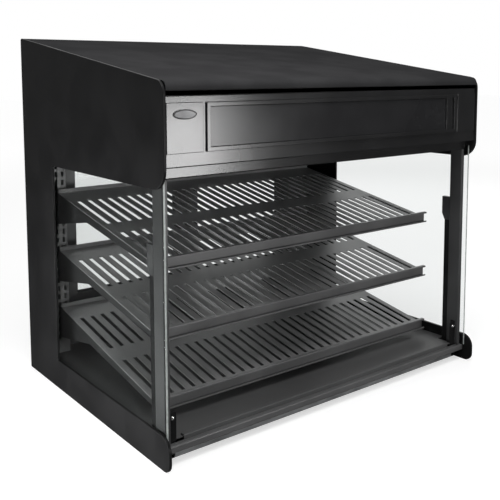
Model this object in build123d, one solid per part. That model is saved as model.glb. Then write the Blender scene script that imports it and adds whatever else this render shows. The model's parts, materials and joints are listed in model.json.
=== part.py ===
"""Heated counter-top display case with three sloped, slotted shelves and two hinged rear doors.

Millimetres. X runs across the width, Y from the open front (-Y) to the doors (+Y), Z up from the counter.
The origin is the bottom centre of the footprint.
"""
from build123d import *
from math import cos, radians, sin, tan
import os

# Overall sizes
width = 914.0
depth = 671.0
rear_height = 829.0
roof_rise = 100.0
hood_front_height = 198.0

# Sheet metal, glass and working clearances
sheet = 1.5
bend_radius = 2.5
part_gap = 0.3
glass_thickness = 6.0
glass_arris = 0.8
cut_over = 1.0

# End panels, C-shaped when seen from the side
panel_thickness = 6.0
hood_setback = 5.0
column_depth = 169.0
rail_height = 68.0
hood_top_radius = 28.0
hood_bottom_radius = 40.0
nose_top_radius = 30.0
nose_bottom_radius = 20.0
inner_corner_radius = 4.0
floor_corner_radius = 2.0
roof_corner_radius = 6.0

# Hood
roof_lip_drop = 17.0
roof_rear_flange = 18.0
roof_front_radius = 14.0
fascia_gap = 8.0
fascia_setback = 3.5
fascia_height = 132.0
valance_setback = 28.5
valance_drop = 21.0
valance_overlap = 19.0
ceiling_rise = 20.0
ceiling_flange = 18.0
vent_side = 136.0
vent_slot_width = 5.0
vent_slot_height = 34.0
vent_slot_pitch = 14.0
vent_slot_count = 18
vent_drop = 62.0

# Raised fields, sign frame and blank badge on the fascia
field_bottom = 26.0
field_height = 92.5
field_proud = 1.5
field_side = 2.0
field_gap = 6.5
field_chamfer = 0.5
sign_left = 94.0
sign_right = 83.0
sign_border = 9.0
sign_proud = 4.0
sign_panel_thickness = 1.2
sign_chamfer = 1.0
sign_bar_width = 12.0
sign_bar_inset = 27.0
badge_width = 50.0
badge_height = 19.0
badge_thickness = 2.0
badge_side = 47.0
badge_rise = 97.0

# Heat and light in the hood
trough_mouth = 92.0
trough_top = 44.0
trough_height = 46.0
trough_flange = 10.0
trough_length = 700.0
trough_front = 96.0
trough_pitch = 170.0
trough_count = 3
rod_diameter = 9.0
rod_length = 660.0
rod_drop = 24.0
rod_bracket_thickness = 3.0
rod_bracket_width = 22.0
rod_bracket_inset = 40.0
lamp_diameter = 16.0
lamp_length = 560.0
lamp_pin_diameter = 2.4
lamp_pin_spacing = 6.0
lamp_pin_length = 7.0
socket_thickness = 12.0
socket_width = 26.0
socket_below_lamp = 11.0
socket_radius = 7.8
terminal_length = 64.0
terminal_depth = 24.0
terminal_height = 20.0
terminal_ways = 6
terminal_setback = 60.0
terminal_notch_depth = 8.0
terminal_notch_width = 2.0

# Base
foot_diameter = 32.0
foot_height = 8.0
foot_inset = 70.0
foot_chamfer = 2.0
underpan_height = 8.0
side_rail_width = 30.0
side_rail_height = 40.0
side_rail_sheet = 2.0
side_rail_lip = 10.0
sill_setback = 26.0
sill_bottom = 24.0
sill_step = 11.0
sill_drop = 1.0
sill_radius = 3.0
tray_margin = 56.0
tray_rim_height = 49.0
tray_rim_width = 12.0
rim_radius = 2.0
rim_foot_radius = 1.6
deck_height = 45.0
heater_mat_thickness = 3.0
heater_mat_side = 41.0
heater_mat_front = 110.0
heater_mat_rear = 100.0
heater_mat_corner = 15.0
riser_height = 138.7
door_setback = 10.0
frame_depth = 21.0

# Side glass and front posts
glass_front = 21.0
glass_rear_lap = 18.0
glass_top_lap = 29.0
post_width = 10.0
post_front = 31.0
post_depth = 35.0
post_wall = 2.0
post_radius = 1.5
sleeve_depth = 15.0
sleeve_radius = 2.0
sleeve_gap = 2.0
sleeve_top = 363.0
clip_height = 60.0
clip_depth = 23.0
foot_plate_reach = 18.0
foot_plate_height = 61.0
foot_plate_depth = 12.0
foot_plate_front = 40.0
foot_plate_sheet = 2.0
foot_plate_radius = 6.0
screw_shank_diameter = 4.8
screw_shank_length = 9.0
screw_head_diameter = 9.0
screw_head_height = 3.0
screw_drop = 13.0

# Perforated shelf standards
standard_side = 42.0
standard_width = 38.0
standard_depth = 40.0
hole_width = 6.0
hole_height = 13.0
hole_pitch = 20.5
hole_column_spacing = 16.0
hook_hole_side = 54.0
standard_sheet = 2.0

# Shelves
shelf_margin = 52.0
shelf_front = 125.0
shelf_rear_gap = 16.0
shelf_slope = 10.54
shelf_sheet = 2.0
bottom_shelf_height = 80.4
holes_between_shelves = 7
shelf_count = 3
shelf_rear_lip = 10.0
slot_count = 30
slot_width = 10.0
front_band = 21.5
middle_band = 56.0
rear_band = 70.0
end_band = 16.0
rail_face_height = 27.0
rail_above_deck = 13.0
rail_depth = 10.0
rail_hook = 4.0
rail_radius = 1.8

# Shelf brackets
bracket_blade = 3.0
bracket_ledge = 12.0
bracket_ledge_thickness = 2.0
bracket_rear_depth = 80.0
bracket_neck_depth = 19.0
bracket_tip_depth = 12.0
bracket_neck_distance = 169.0
bracket_tip_gap = 5.0
bracket_fillet = 20.0
bracket_heel_radius = 2.0
bracket_tip_radius = 3.0
hook_height = 8.0
hook_drop = 5.0
hook_count = 3
hook_first_drop = 21.0

# Rear doors
door_side = 85.0
door_gap = 1.6
door_thickness = 20.0
door_stile = 36.0
door_rail = 35.0
door_glass_thickness = 5.0
door_glass_lap = 8.0
door_glass_gap = 0.2
door_edge_radius = 4.0
jamb_gap = 3.0
jamb_lip = 12.0
hinge_inset = 6.5
hinge_pin_diameter = 6.0
hinge_running_gap = 0.05
hinge_pin_length = 18.0
hinge_plate_thickness = 3.0
hinge_plate_reach = 17.0
hinge_plate_radius = 3.0
door_above_hood = 6.0
handle_length = 110.0
handle_height_above_door = 170.0
handle_projection = 9.6
handle_return = 11.0
handle_side = 7.0
handle_thickness = 1.6
handle_foot = 17.0
handle_bend_radius = 2.5
handle_foot_radius = 0.5
catch_width = 22.0
catch_depth = 14.0
catch_overlap = 14.0
catch_side = 10.0
catch_chamfer = 1.5

# Controls in a recess of the hood's rear panel
recess_width = 190.0
recess_height = 92.0
recess_depth = 17.5
recess_side = 150.0
recess_rise = 116.7
recess_flange = 9.0
switch_spacing = 46.0
switch_first = 34.0
bezel_width = 20.0
bezel_height = 31.0
bezel_proud = 1.6
bezel_lap = 1.0
bezel_radius = 2.0
switch_body_depth = 24.0
rocker_width = 13.0
rocker_height = 23.0
rocker_thickness = 7.0
rocker_gap = 0.5
rocker_bevel = 1.5
rocker_well_gap = 4.0
rocker_tilt = 8.0
rocker_axis_depth = 1.0
rocker_pin_diameter = 3.0
rocker_pin_lap = 1.2
knob_diameter = 38.0
knob_height = 14.0
knob_chamfer = 1.5
knob_skirt = 3.0
knob_grip_offset = 1.2
knob_grip_radius = 3.0
knob_grip_count = 12
pointer_width = 2.0
pointer_height = 0.8
knob_side = 44.0
knob_gap = 0.5
shaft_diameter = 6.0
shaft_running_gap = 0.05
shaft_length = 12.0
shaft_end_gap = 1.0
shaft_hole_gap = 1.0
thermostat_width = 34.0
thermostat_depth = 28.0
thermostat_radius = 4.0
pilot_lamp_diameter = 9.0
pilot_lamp_proud = 2.5
pilot_lamp_lip = 1.0
pilot_lamp_radius = 1.5
pilot_lamp_depth = 12.0

# Cord inlet gland in the rear riser
gland_side = 96.0
gland_height = 92.0
gland_thread_diameter = 18.0
gland_nut_across_flats = 24.0
gland_nut_height = 5.0
gland_bore = 8.5
gland_dome_height = 4.5
gland_locknut_height = 4.0
gland_shoulder = 1.0
gland_mouth_wall = 3.0

# Places that follow from the sizes above
left = -width / 2
front = -depth / 2
inner_left = left + panel_thickness
hood_front = front + hood_setback
front_height = rear_height - roof_rise
hood_bottom = front_height - hood_front_height
column_front = front + depth - column_depth
door_rear = front + depth - door_setback
door_face = door_rear - frame_depth
roof_slope = roof_rise / (depth - hood_setback)
deck_left = inner_left + glass_thickness + 2 * part_gap
ceiling_height = hood_bottom + ceiling_rise
fascia_top = front_height - roof_lip_drop - fascia_gap
fascia_bottom = fascia_top - fascia_height
shelf_pitch = holes_between_shelves * hole_pitch
top_shelf_height = bottom_shelf_height + (shelf_count - 1) * shelf_pitch
slope = radians(shelf_slope)
shelf_width = width - 2 * shelf_margin
standard_front = door_face - standard_depth
shelf_rear = standard_front - shelf_rear_gap
bracket_rear = standard_front - part_gap
bracket_left = left + hook_hole_side - bracket_blade / 2
door_bottom = riser_height + hinge_plate_thickness + part_gap
hinge_x = left + door_side + hinge_inset
hinge_y = door_rear - hinge_inset
door_top = hood_bottom + door_above_hood
hood_rear_bottom = door_top + part_gap + hinge_plate_thickness
door_width = (width - door_gap) / 2 - door_side


def roof_z(y):
    """Height of the roof's top surface at a place along Y."""
    return front_height + roof_slope * (y - hood_front)


def deck_z(y, level):
    """Height of a shelf deck's top surface at a place along Y. Level 0 is the top shelf."""
    return top_shelf_height - level * shelf_pitch + tan(slope) * (y - front - shelf_front)


def box_between(x0, x1, y0, y1, z0, z1):
    """Box from its two opposite corners."""
    return Pos((x0 + x1) / 2, (y0 + y1) / 2, (z0 + z1) / 2) * Box(x1 - x0, y1 - y0, z1 - z0)


def profile_along_x(face, x0, x1):
    """Extrude a face drawn in the YZ plane from x0 to x1."""
    return Pos(x0, 0, 0) * Solid.extrude(face, Vector(x1 - x0, 0, 0))


def profile_upward(face, z0, z1):
    """Extrude a face drawn in the XY plane from z0 to z1."""
    return Pos(0, 0, z0) * Solid.extrude(face, Vector(0, 0, z1 - z0))


def bent_strip(points, side, thickness=sheet, radius=bend_radius, plane=Plane.YZ):
    """Face of a folded sheet: a line with rounded bends, thickened to one side."""
    path = Wire(FilletPolyline(*points, radius=radius).edges())
    outline = path.offset_2d(thickness, kind=Kind.INTERSECTION, side=side)
    return plane * Face(outline)


def outline_face(points, radius=0.0, plane=Plane.YZ):
    """Face inside a closed outline of straight runs with rounded corners."""
    outline = FilletPolyline(*points, radius=radius, close=True)
    return plane * Face(Wire(outline.edges()))


def cylinder_along(axis, radius, start, length):
    """Cylinder from a start point along +X, +Y or +Z."""
    turn = {"X": (0, 90, 0), "Y": (-90, 0, 0), "Z": (0, 0, 0)}[axis]
    bar = Cylinder(radius, length, align=(Align.CENTER, Align.CENTER, Align.MIN))
    return Pos(*start) * Rot(*turn) * bar


def mirrored(shape):
    """The right-hand twin of a left-hand piece."""
    return mirror(shape, about=Plane.YZ)


def joined(pieces):
    """Fuse a list of touching solids into one."""
    whole = pieces[0]
    for piece in pieces[1:]:
        whole = whole + piece
    return whole


def group(pieces):
    """Several separate solids in one node."""
    return Compound(children=[solid for piece in pieces for solid in piece.solids()])


# End panels
def end_panel():
    """Left C-shaped panel: hood end, rear column and floor rail in one plate."""
    corners = [
        (front, 0, nose_bottom_radius),
        (front + depth, 0, floor_corner_radius),
        (front + depth, rear_height, roof_corner_radius),
        (hood_front, front_height, hood_top_radius),
        (hood_front, hood_bottom, hood_bottom_radius),
        (column_front, hood_bottom, inner_corner_radius),
        (column_front, rail_height, inner_corner_radius),
        (front, rail_height, nose_top_radius),
    ]
    face = outline_face([c[:2] for c in corners], [c[2] for c in corners])
    return profile_along_x(face, left, inner_left)


# Hood
def roof_panel():
    """Sloped roof with a rounded front edge that turns down and in, and a rear flange."""
    rear = front + depth
    lip_z = front_height - roof_lip_drop
    path = [
        (rear, roof_z(rear) - roof_rear_flange),
        (rear, roof_z(rear)),
        (hood_front, front_height),
        (hood_front, lip_z),
        (hood_front + roof_lip_drop, lip_z),
    ]
    face = bent_strip(path, Side.LEFT, radius=[roof_corner_radius, roof_front_radius, bend_radius])
    return profile_along_x(face, inner_left, -inner_left)


def fascia_face():
    """Y of the fascia's front surface."""
    return hood_front + fascia_setback


def fascia_field(x0, x1):
    """Raised field on the fascia between two places along X."""
    y = fascia_face()
    z0, z1 = sign_heights()
    field = box_between(x0, x1, y - field_proud, y, z0, z1)
    return chamfer(field.faces().sort_by(Axis.Y)[0].edges(), field_chamfer)


def front_fascia():
    """Front plate of the hood, with folded flanges and a raised field at each side of the sign."""
    y = fascia_face()
    y_back = front + valance_setback
    path = [(y_back, fascia_top), (y, fascia_top), (y, fascia_bottom), (y_back, fascia_bottom)]
    plate = profile_along_x(bent_strip(path, Side.LEFT), inner_left, -inner_left)
    x0, x1 = sign_ends()
    left_field = fascia_field(inner_left + field_side, x0 - field_gap)
    right_field = fascia_field(x1 + field_gap, -inner_left - field_side)
    return plate + left_field + right_field


def valance():
    """Strip under the fascia that shields the lamp and carries the ceiling's front edge."""
    y = front + valance_setback
    z = ceiling_height
    path = [(y, z + valance_drop + valance_overlap), (y, z - sheet), (y + valance_drop, z - sheet)]
    return profile_along_x(bent_strip(path, Side.LEFT), deck_left, -deck_left)


def sign_ends():
    """X of the sign frame's left and right ends."""
    return left + sign_left, -left - sign_right


def sign_heights():
    """Z of the lower and upper edges that the sign frame shares with the raised fields."""
    return fascia_bottom + field_bottom, fascia_bottom + field_bottom + field_height


def sign_frame():
    """Raised rectangular frame on the fascia, with a cross bar that stops the sign near its right end."""
    y = fascia_face()
    x0, x1 = sign_ends()
    z0, z1 = sign_heights()
    b = sign_border
    bar = x1 - sign_bar_inset
    y_cut = y - sign_proud - cut_over
    frame = box_between(x0, x1, y - sign_proud, y, z0, z1)
    window = box_between(x0 + b, bar - sign_bar_width, y_cut, y + cut_over, z0 + b, z1 - b)
    end_slot = box_between(bar, x1 - b, y_cut, y + cut_over, z0 + b, z1 - b)
    frame = frame - window - end_slot
    return chamfer(frame.faces().sort_by(Axis.Y)[0].edges(), sign_chamfer)


def sign_panel():
    """Blank panel that fills the sign frame's window."""
    y = fascia_face()
    edge = sign_border + part_gap
    x0, x1 = sign_ends()
    z0, z1 = sign_heights()
    x_end = x1 - sign_bar_inset - sign_bar_width - part_gap
    return box_between(x0 + edge, x_end, y - sign_panel_thickness, y, z0 + edge, z1 - edge)


def badge_plate():
    """Blank oval plate with a raised rim, left of the sign frame."""
    place = Pos(left + badge_side, fascia_face() - field_proud, fascia_bottom + badge_rise) * Rot(90, 0, 0)
    oval = extrude(Ellipse(badge_width / 2, badge_height / 2), badge_thickness)
    inner = Ellipse(badge_width / 2 - badge_thickness, badge_height / 2 - badge_thickness)
    field = Pos(0, 0, badge_thickness / 2) * extrude(inner, badge_thickness)
    return place * (oval - field)


def recess_centre():
    """X and Z of the middle of the control recess."""
    return -left - recess_side - recess_width / 2, hood_rear_bottom + recess_rise


def hood_rear_panel():
    """Rear wall of the hood with vent slots, a floor flange and the control opening."""
    rear_top = roof_z(door_rear) - sheet / cos(roof_slope) - part_gap
    path = [
        (door_face, ceiling_height - part_gap),
        (door_face, hood_rear_bottom),
        (door_rear, hood_rear_bottom),
        (door_rear, rear_top),
    ]
    face = bent_strip(path, Side.LEFT)
    panel = profile_along_x(face, inner_left, -inner_left)
    x, z = recess_centre()
    y0, y1 = door_rear - 2 * sheet, door_rear + cut_over
    panel -= box_between(
        x - recess_width / 2, x + recess_width / 2, y0, y1, z - recess_height / 2, z + recess_height / 2
    )
    slot_z = rear_height - vent_drop
    first = left + vent_side
    for i in range(vent_slot_count):
        slot_x = first + i * vent_slot_pitch
        panel -= box_between(
            slot_x - vent_slot_width / 2, slot_x + vent_slot_width / 2, y0, y1,
            slot_z - vent_slot_height, slot_z,
        )
    return panel


def trough_centre(index):
    """Y of the middle of a trough in the ceiling. Trough 0 holds the lamp."""
    return front + trough_front + index * trough_pitch


def hood_ceiling():
    """Ceiling pan of the display space, with a mouth for each trough and upturned edges."""
    y0 = front + valance_setback + sheet
    y1 = door_face
    z = ceiling_height
    path = [(y0, z + ceiling_flange), (y0, z), (y1, z), (y1, z + ceiling_flange)]
    face = bent_strip(path, Side.LEFT, thickness=sheet)
    pan = profile_along_x(face, deck_left, -deck_left)
    for i in range(trough_count):
        y = trough_centre(i)
        pan -= box_between(
            -trough_length / 2, trough_length / 2, y - trough_mouth / 2, y + trough_mouth / 2,
            z - cut_over, z + 2 * sheet,
        )
    return pan


def hood_reflectors():
    """Trapezium troughs over the ceiling's mouths, closed at both ends."""
    troughs = []
    z0 = ceiling_height + sheet
    for i in range(trough_count):
        y = trough_centre(i)
        path = [
            (y - trough_mouth / 2 - trough_flange, z0),
            (y - trough_mouth / 2, z0),
            (y - trough_top / 2, z0 + trough_height),
            (y + trough_top / 2, z0 + trough_height),
            (y + trough_mouth / 2, z0),
            (y + trough_mouth / 2 + trough_flange, z0),
        ]
        x0 = -trough_length / 2
        shell = profile_along_x(bent_strip(path, Side.LEFT), x0, -x0)
        end_plate = profile_along_x(outline_face(path[1:5]), x0, x0 + sheet)
        troughs.append(joined([shell, end_plate, mirrored(end_plate)]))
    return group(troughs)


def rod_z():
    """Height of the heater rods' axis."""
    return ceiling_height + sheet + trough_height - rod_drop


def heater_rods():
    """Sheathed heater rods in the rear troughs."""
    rods = []
    for i in range(1, trough_count):
        start = (-rod_length / 2, trough_centre(i), rod_z())
        rods.append(cylinder_along("X", rod_diameter / 2, start, rod_length))
    return group(rods)


def rod_brackets():
    """Strips that hang from the troughs and hold the heater rods at both ends."""
    clips = []
    top = ceiling_height + sheet + trough_height
    for i in range(1, trough_count):
        y = trough_centre(i)
        half = rod_bracket_width / 2
        x = -rod_length / 2 + rod_bracket_inset
        plate = box_between(x, x + rod_bracket_thickness, y - half, y + half, rod_z() - rod_diameter, top)
        plate -= cylinder_along("X", rod_diameter / 2, (x, y, rod_z()), rod_bracket_thickness)
        clips += [plate, mirrored(plate)]
    return group(clips)


def lamp_tube():
    """Straight tube lamp with two contact pins at each end."""
    y, z = trough_centre(0), rod_z()
    tube = cylinder_along("X", lamp_diameter / 2, (-lamp_length / 2, y, z), lamp_length)
    pins = []
    for side in (-1, 1):
        x = -lamp_length / 2 - lamp_pin_length if side < 0 else lamp_length / 2
        for offset_z in (-lamp_pin_spacing / 2, lamp_pin_spacing / 2):
            pins.append(cylinder_along("X", lamp_pin_diameter / 2, (x, y, z + offset_z), lamp_pin_length))
    return joined([tube] + pins)


def lamp_sockets():
    """Two lamp holders that hang from the front trough."""
    y, z = trough_centre(0), rod_z()
    top = ceiling_height + sheet + trough_height
    x0 = -lamp_length / 2 - socket_thickness
    half = socket_width / 2
    block = box_between(x0, x0 + socket_thickness, y - half, y + half, z - socket_below_lamp, top)
    block = fillet(block.edges().filter_by(Axis.X).group_by(Axis.Z)[0], socket_radius)
    for offset_z in (-lamp_pin_spacing / 2, lamp_pin_spacing / 2):
        start = (x0 + socket_thickness - lamp_pin_length, y, z + offset_z)
        block -= cylinder_along("X", lamp_pin_diameter / 2, start, lamp_pin_length)
    return group([block, mirrored(block)])


def terminal_block():
    """Wiring block on top of the ceiling pan, near the controls."""
    x, _ = recess_centre()
    y = door_face - terminal_setback
    z = ceiling_height + sheet
    half = terminal_length / 2
    block = box_between(x - half, x + half, y, y + terminal_depth, z, z + terminal_height)
    way = terminal_length / terminal_ways
    for i in range(terminal_ways - 1):
        slot_x = x - half + (i + 1) * way
        slot_half = terminal_notch_width / 2
        block -= box_between(
            slot_x - slot_half, slot_x + slot_half, y, y + terminal_depth,
            z + terminal_height - terminal_notch_depth, z + terminal_height,
        )
    return block


# Base
def base_underpan():
    """Bottom tray of the base, folded up at front and rear."""
    z = underpan_height
    y0 = front + sill_setback + sill_step + sheet
    path = [(y0, sill_bottom), (y0, z), (door_face, z), (door_face, deck_height - 2 * sheet)]
    face = bent_strip(path, Side.LEFT)
    return profile_along_x(face, inner_left + side_rail_width, -inner_left - side_rail_width)


def base_side_rail():
    """Left channel of the base, with a low wall: it carries the side glass and the deck's edge."""
    x0 = inner_left
    x1 = inner_left + side_rail_width
    z0, z1 = underpan_height, side_rail_height
    path = [(x1, z0), (x0, z0), (x0, z1), (x1, z1), (x1, z1 - side_rail_lip)]
    face = bent_strip(path, Side.LEFT, thickness=side_rail_sheet, plane=Plane.XZ)
    y0 = front + sill_setback + sill_step + 2 * sheet
    channel = Pos(0, y0, 0) * Solid.extrude(face, Vector(0, door_face - y0, 0))
    wall = box_between(deck_left, x1, deck_wall_front(), door_face, z1, deck_height - sheet)
    return joined([channel, wall])


def front_sill():
    """Folded bar across the front at floor level."""
    y0 = front + sill_setback
    y1 = y0 + sill_step
    top = side_rail_height - sill_drop
    path = [(y1 + sheet, sill_bottom), (y0, sill_bottom), (y0, top), (y1 + sheet, top)]
    face = bent_strip(path, Side.RIGHT, radius=sill_radius)
    return profile_along_x(face, inner_left, -inner_left)


def base_deck():
    """Heated floor of the display space, with a raised rim along the front."""
    y0 = front + sill_setback + sill_step
    rim = tray_rim_height
    path = [
        (y0, side_rail_height - sill_drop),
        (y0, rim),
        (y0 + tray_rim_width, rim),
        (y0 + tray_rim_width, deck_height),
        (door_face, deck_height),
    ]
    face = bent_strip(path, Side.RIGHT, radius=[rim_radius, rim_radius, rim_foot_radius])
    middle = profile_along_x(face, left + tray_margin, -left - tray_margin)
    z0, z1 = deck_height - sheet, deck_height
    x_rail = inner_left + side_rail_width
    wing = box_between(x_rail, left + tray_margin, y0 + 2 * sheet, door_face, z0, z1)
    wing += box_between(deck_left, x_rail, deck_wall_front(), door_face, z0, z1)
    plate_end = post_left() + post_width + foot_plate_reach + 2 * part_gap
    notch_rear = front + foot_plate_front + foot_plate_depth
    wing -= box_between(x_rail - cut_over, plate_end, y0, notch_rear, z0 - cut_over, z1 + cut_over)
    return joined([middle, wing, mirrored(wing)])


def deck_wall_front():
    """Front end of the deck's outer strips, just behind the post sleeves."""
    return front + post_front + post_depth + sleeve_depth + sleeve_gap


def base_heater_mat():
    """Flat heating mat pressed against the underside of the deck."""
    z1 = deck_height - sheet
    x0 = inner_left + side_rail_width + heater_mat_side
    y0, y1 = front + heater_mat_front, door_face - heater_mat_rear
    mat = box_between(x0, -x0, y0, y1, z1 - heater_mat_thickness, z1)
    return fillet(mat.edges().filter_by(Axis.Z), heater_mat_corner)


def base_insulation():
    """Mineral wool slab between the mat and the bottom tray."""
    z1 = deck_height - sheet - heater_mat_thickness
    x0 = inner_left + side_rail_width + heater_mat_side
    y0, y1 = front + heater_mat_front, door_face - heater_mat_rear
    return box_between(x0, -x0, y0, y1, underpan_height + sheet, z1)


def rubber_feet():
    """Four feet under the bottom tray."""
    feet = []
    x = left + foot_inset + side_rail_width
    rows = (front + foot_inset + sill_setback, front + depth - foot_inset - sill_setback)
    for foot_x in (x, -x):
        for foot_y in rows:
            post = cylinder_along("Z", foot_diameter / 2, (foot_x, foot_y, 0), foot_height)
            feet.append(chamfer(post.faces().sort_by(Axis.Z)[0].edges(), foot_chamfer))
    return group(feet)


def rear_riser():
    """Low rear wall under the doors, folded from one sheet, with the cord inlet's hole."""
    path = [
        (door_face, deck_height - 2 * sheet),
        (door_face, riser_height),
        (door_rear, riser_height),
        (door_rear, underpan_height),
        (door_face + sheet, underpan_height),
    ]
    panel = profile_along_x(bent_strip(path, Side.LEFT), inner_left, -inner_left)
    start = (left + gland_side, door_rear - 2 * sheet, gland_height)
    return panel - cylinder_along("Y", gland_thread_diameter / 2, start, 3 * sheet)


def door_jamb():
    """Left upright channel between the end panel and the door."""
    x0 = inner_left
    x1 = left + door_side - jamb_gap
    path = [(x0, door_rear), (x0, door_face), (x1, door_face), (x1, door_rear), (x1 - jamb_lip, door_rear)]
    face = bent_strip(path, Side.LEFT, plane=Plane.XY)
    return profile_upward(face, riser_height, hood_rear_bottom)


# Side glass and posts
def side_glass():
    """Left fixed pane behind the C-shaped opening of the end panel."""
    x0 = inner_left + part_gap
    y1 = column_front + glass_rear_lap
    pane = box_between(
        x0, x0 + glass_thickness, front + glass_front, y1, side_rail_height, hood_bottom + glass_top_lap
    )
    return chamfer(pane.edges().filter_by(Axis.Z), glass_arris)


def post_left():
    """X of the posts' outer face."""
    return deck_left


def front_post():
    """Left upright behind the front edge of the glass: a rectangular tube."""
    x0 = post_left()
    y0 = front + post_front
    z0, z1 = side_rail_height, ceiling_height - sheet
    tube = box_between(x0, x0 + post_width, y0, y0 + post_depth, z0, z1)
    tube = fillet(tube.edges().filter_by(Axis.Z), post_radius)
    w = post_wall
    return tube - box_between(x0 + w, x0 + post_width - w, y0 + w, y0 + post_depth - w, z0, z1)


def post_sleeve():
    """Left channel that deepens the lower part of the post."""
    x0, x1 = post_left(), post_left() + post_width
    y0 = front + post_front + post_depth
    path = [(x0, y0), (x0, y0 + sleeve_depth), (x1, y0 + sleeve_depth), (x1, y0)]
    face = bent_strip(path, Side.RIGHT, plane=Plane.XY, radius=sleeve_radius)
    return profile_upward(face, side_rail_height, sleeve_top)


def post_clip():
    """Left block on top of the sleeve, with a tapered lower end, that holds the glass."""
    x0, x1 = post_left(), post_left() + post_width
    y0 = front + post_front + post_depth
    y1 = y0 + clip_depth
    z0, z1 = sleeve_top, sleeve_top + clip_height
    taper = clip_depth - sleeve_depth
    corners = [(y0, z0), (y1 - taper, z0), (y1, z0 + 2 * taper), (y1, z1), (y0, z1)]
    return profile_along_x(outline_face(corners), x0, x1)


def foot_plate():
    """Left upright plate beside the post's foot, fixed by a round-headed screw."""
    x0 = post_left() + post_width
    y0 = front + foot_plate_front
    z0 = side_rail_height
    t = foot_plate_sheet
    upright = box_between(x0, x0 + foot_plate_reach, y0, y0 + t, z0, z0 + foot_plate_height)
    inner_edges = upright.edges().filter_by(Axis.Y).group_by(Axis.X)[-1]
    upright = fillet(inner_edges.sort_by(Axis.Z)[-1:], foot_plate_radius)
    web = box_between(x0, x0 + t, y0, y0 + foot_plate_depth, z0, z0 + foot_plate_height)
    hole = cylinder_along("Y", screw_shank_diameter / 2, (x0 + foot_plate_reach / 2, y0, screw_z()), t)
    return joined([upright, web]) - hole


def screw_z():
    """Height of the foot plates' screws."""
    return side_rail_height + foot_plate_height - screw_drop


def foot_screws():
    """Round-headed screws in the foot plates."""
    x = post_left() + post_width + foot_plate_reach / 2
    y0 = front + foot_plate_front
    head = Pos(x, y0, screw_z()) * Rot(90, 0, 0) * Cone(
        screw_head_diameter / 2, screw_head_diameter / 3, screw_head_height,
        align=(Align.CENTER, Align.CENTER, Align.MIN),
    )
    shank = cylinder_along("Y", screw_shank_diameter / 2, (x, y0, screw_z()), screw_shank_length)
    screw = joined([head, shank])
    return group([screw, mirrored(screw)])


# Shelf standards, brackets and shelves
def hole_rows():
    """Heights of the standards' holes, counted down and up from the top shelf's first hook."""
    anchor = deck_z(bracket_rear, 0) - hook_first_drop
    lowest = deck_height + 2 * hole_height
    highest = hood_rear_bottom - hole_height
    down = int((anchor - lowest) / hole_pitch)
    up = int((highest - anchor) / hole_pitch)
    return [anchor + i * hole_pitch for i in range(-down, up + 1)]


def shelf_standard():
    """Left perforated upright, a channel with two columns of hook holes."""
    x0 = left + standard_side
    x1 = x0 + standard_width
    y0, y1 = standard_front, door_face
    path = [(x0, y1), (x0, y0), (x1, y0), (x1, y1)]
    face = bent_strip(path, Side.LEFT, thickness=standard_sheet, plane=Plane.XY)
    z0, z1 = deck_height, ceiling_height
    channel = profile_upward(face, z0, z1)
    holes = []
    for z in hole_rows():
        for x in (left + hook_hole_side, left + hook_hole_side + hole_column_spacing):
            holes.append(
                box_between(
                    x - hole_width / 2, x + hole_width / 2, y0, y0 + standard_sheet,
                    z - hole_height / 2, z + hole_height / 2,
                )
            )
    return channel - group(holes)


def bracket_top(y, level):
    """Height of a bracket's top edge: just under the shelf deck."""
    return deck_z(y, level) - shelf_sheet / cos(slope) - part_gap


def shelf_bracket(level):
    """Left cantilever bracket: blade, ledge under the deck and hooks through the standard."""
    tip = front + shelf_front + bracket_tip_gap
    neck = bracket_rear - bracket_neck_distance
    corners = [
        (tip, bracket_top(tip, level), 0),
        (bracket_rear, bracket_top(bracket_rear, level), 0),
        (bracket_rear, bracket_top(bracket_rear, level) - bracket_rear_depth, bracket_heel_radius),
        (neck, bracket_top(neck, level) - bracket_neck_depth, bracket_fillet),
        (tip, bracket_top(tip, level) - bracket_tip_depth, bracket_tip_radius),
    ]
    blade_face = outline_face([c[:2] for c in corners], [c[2] for c in corners])
    blade = profile_along_x(blade_face, bracket_left, bracket_left + bracket_blade)
    ledge_corners = [
        (tip, bracket_top(tip, level)),
        (shelf_rear, bracket_top(shelf_rear, level)),
        (shelf_rear, bracket_top(shelf_rear, level) - bracket_ledge_thickness),
        (tip, bracket_top(tip, level) - bracket_ledge_thickness),
    ]
    ledge_end = bracket_left + bracket_blade + bracket_ledge
    ledge = profile_along_x(outline_face(ledge_corners), bracket_left, ledge_end)
    return joined([blade, ledge] + bracket_hooks(level))


def bracket_hooks(level):
    """Hooks that pass through the standard's holes and turn down behind its face."""
    hooks = []
    first = deck_z(bracket_rear, level) - hook_first_drop
    behind = standard_front + standard_sheet + part_gap
    sill = hole_height / 2 - part_gap
    for i in range(hook_count):
        z = first - i * hole_pitch
        corners = [
            (bracket_rear, z - sill),
            (bracket_rear, z - sill + hook_height),
            (behind + bracket_blade, z - sill + hook_height),
            (behind + bracket_blade, z - sill - hook_drop),
            (behind, z - sill - hook_drop),
            (behind, z - sill),
        ]
        hooks.append(profile_along_x(outline_face(corners), bracket_left, bracket_left + bracket_blade))
    return hooks


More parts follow.
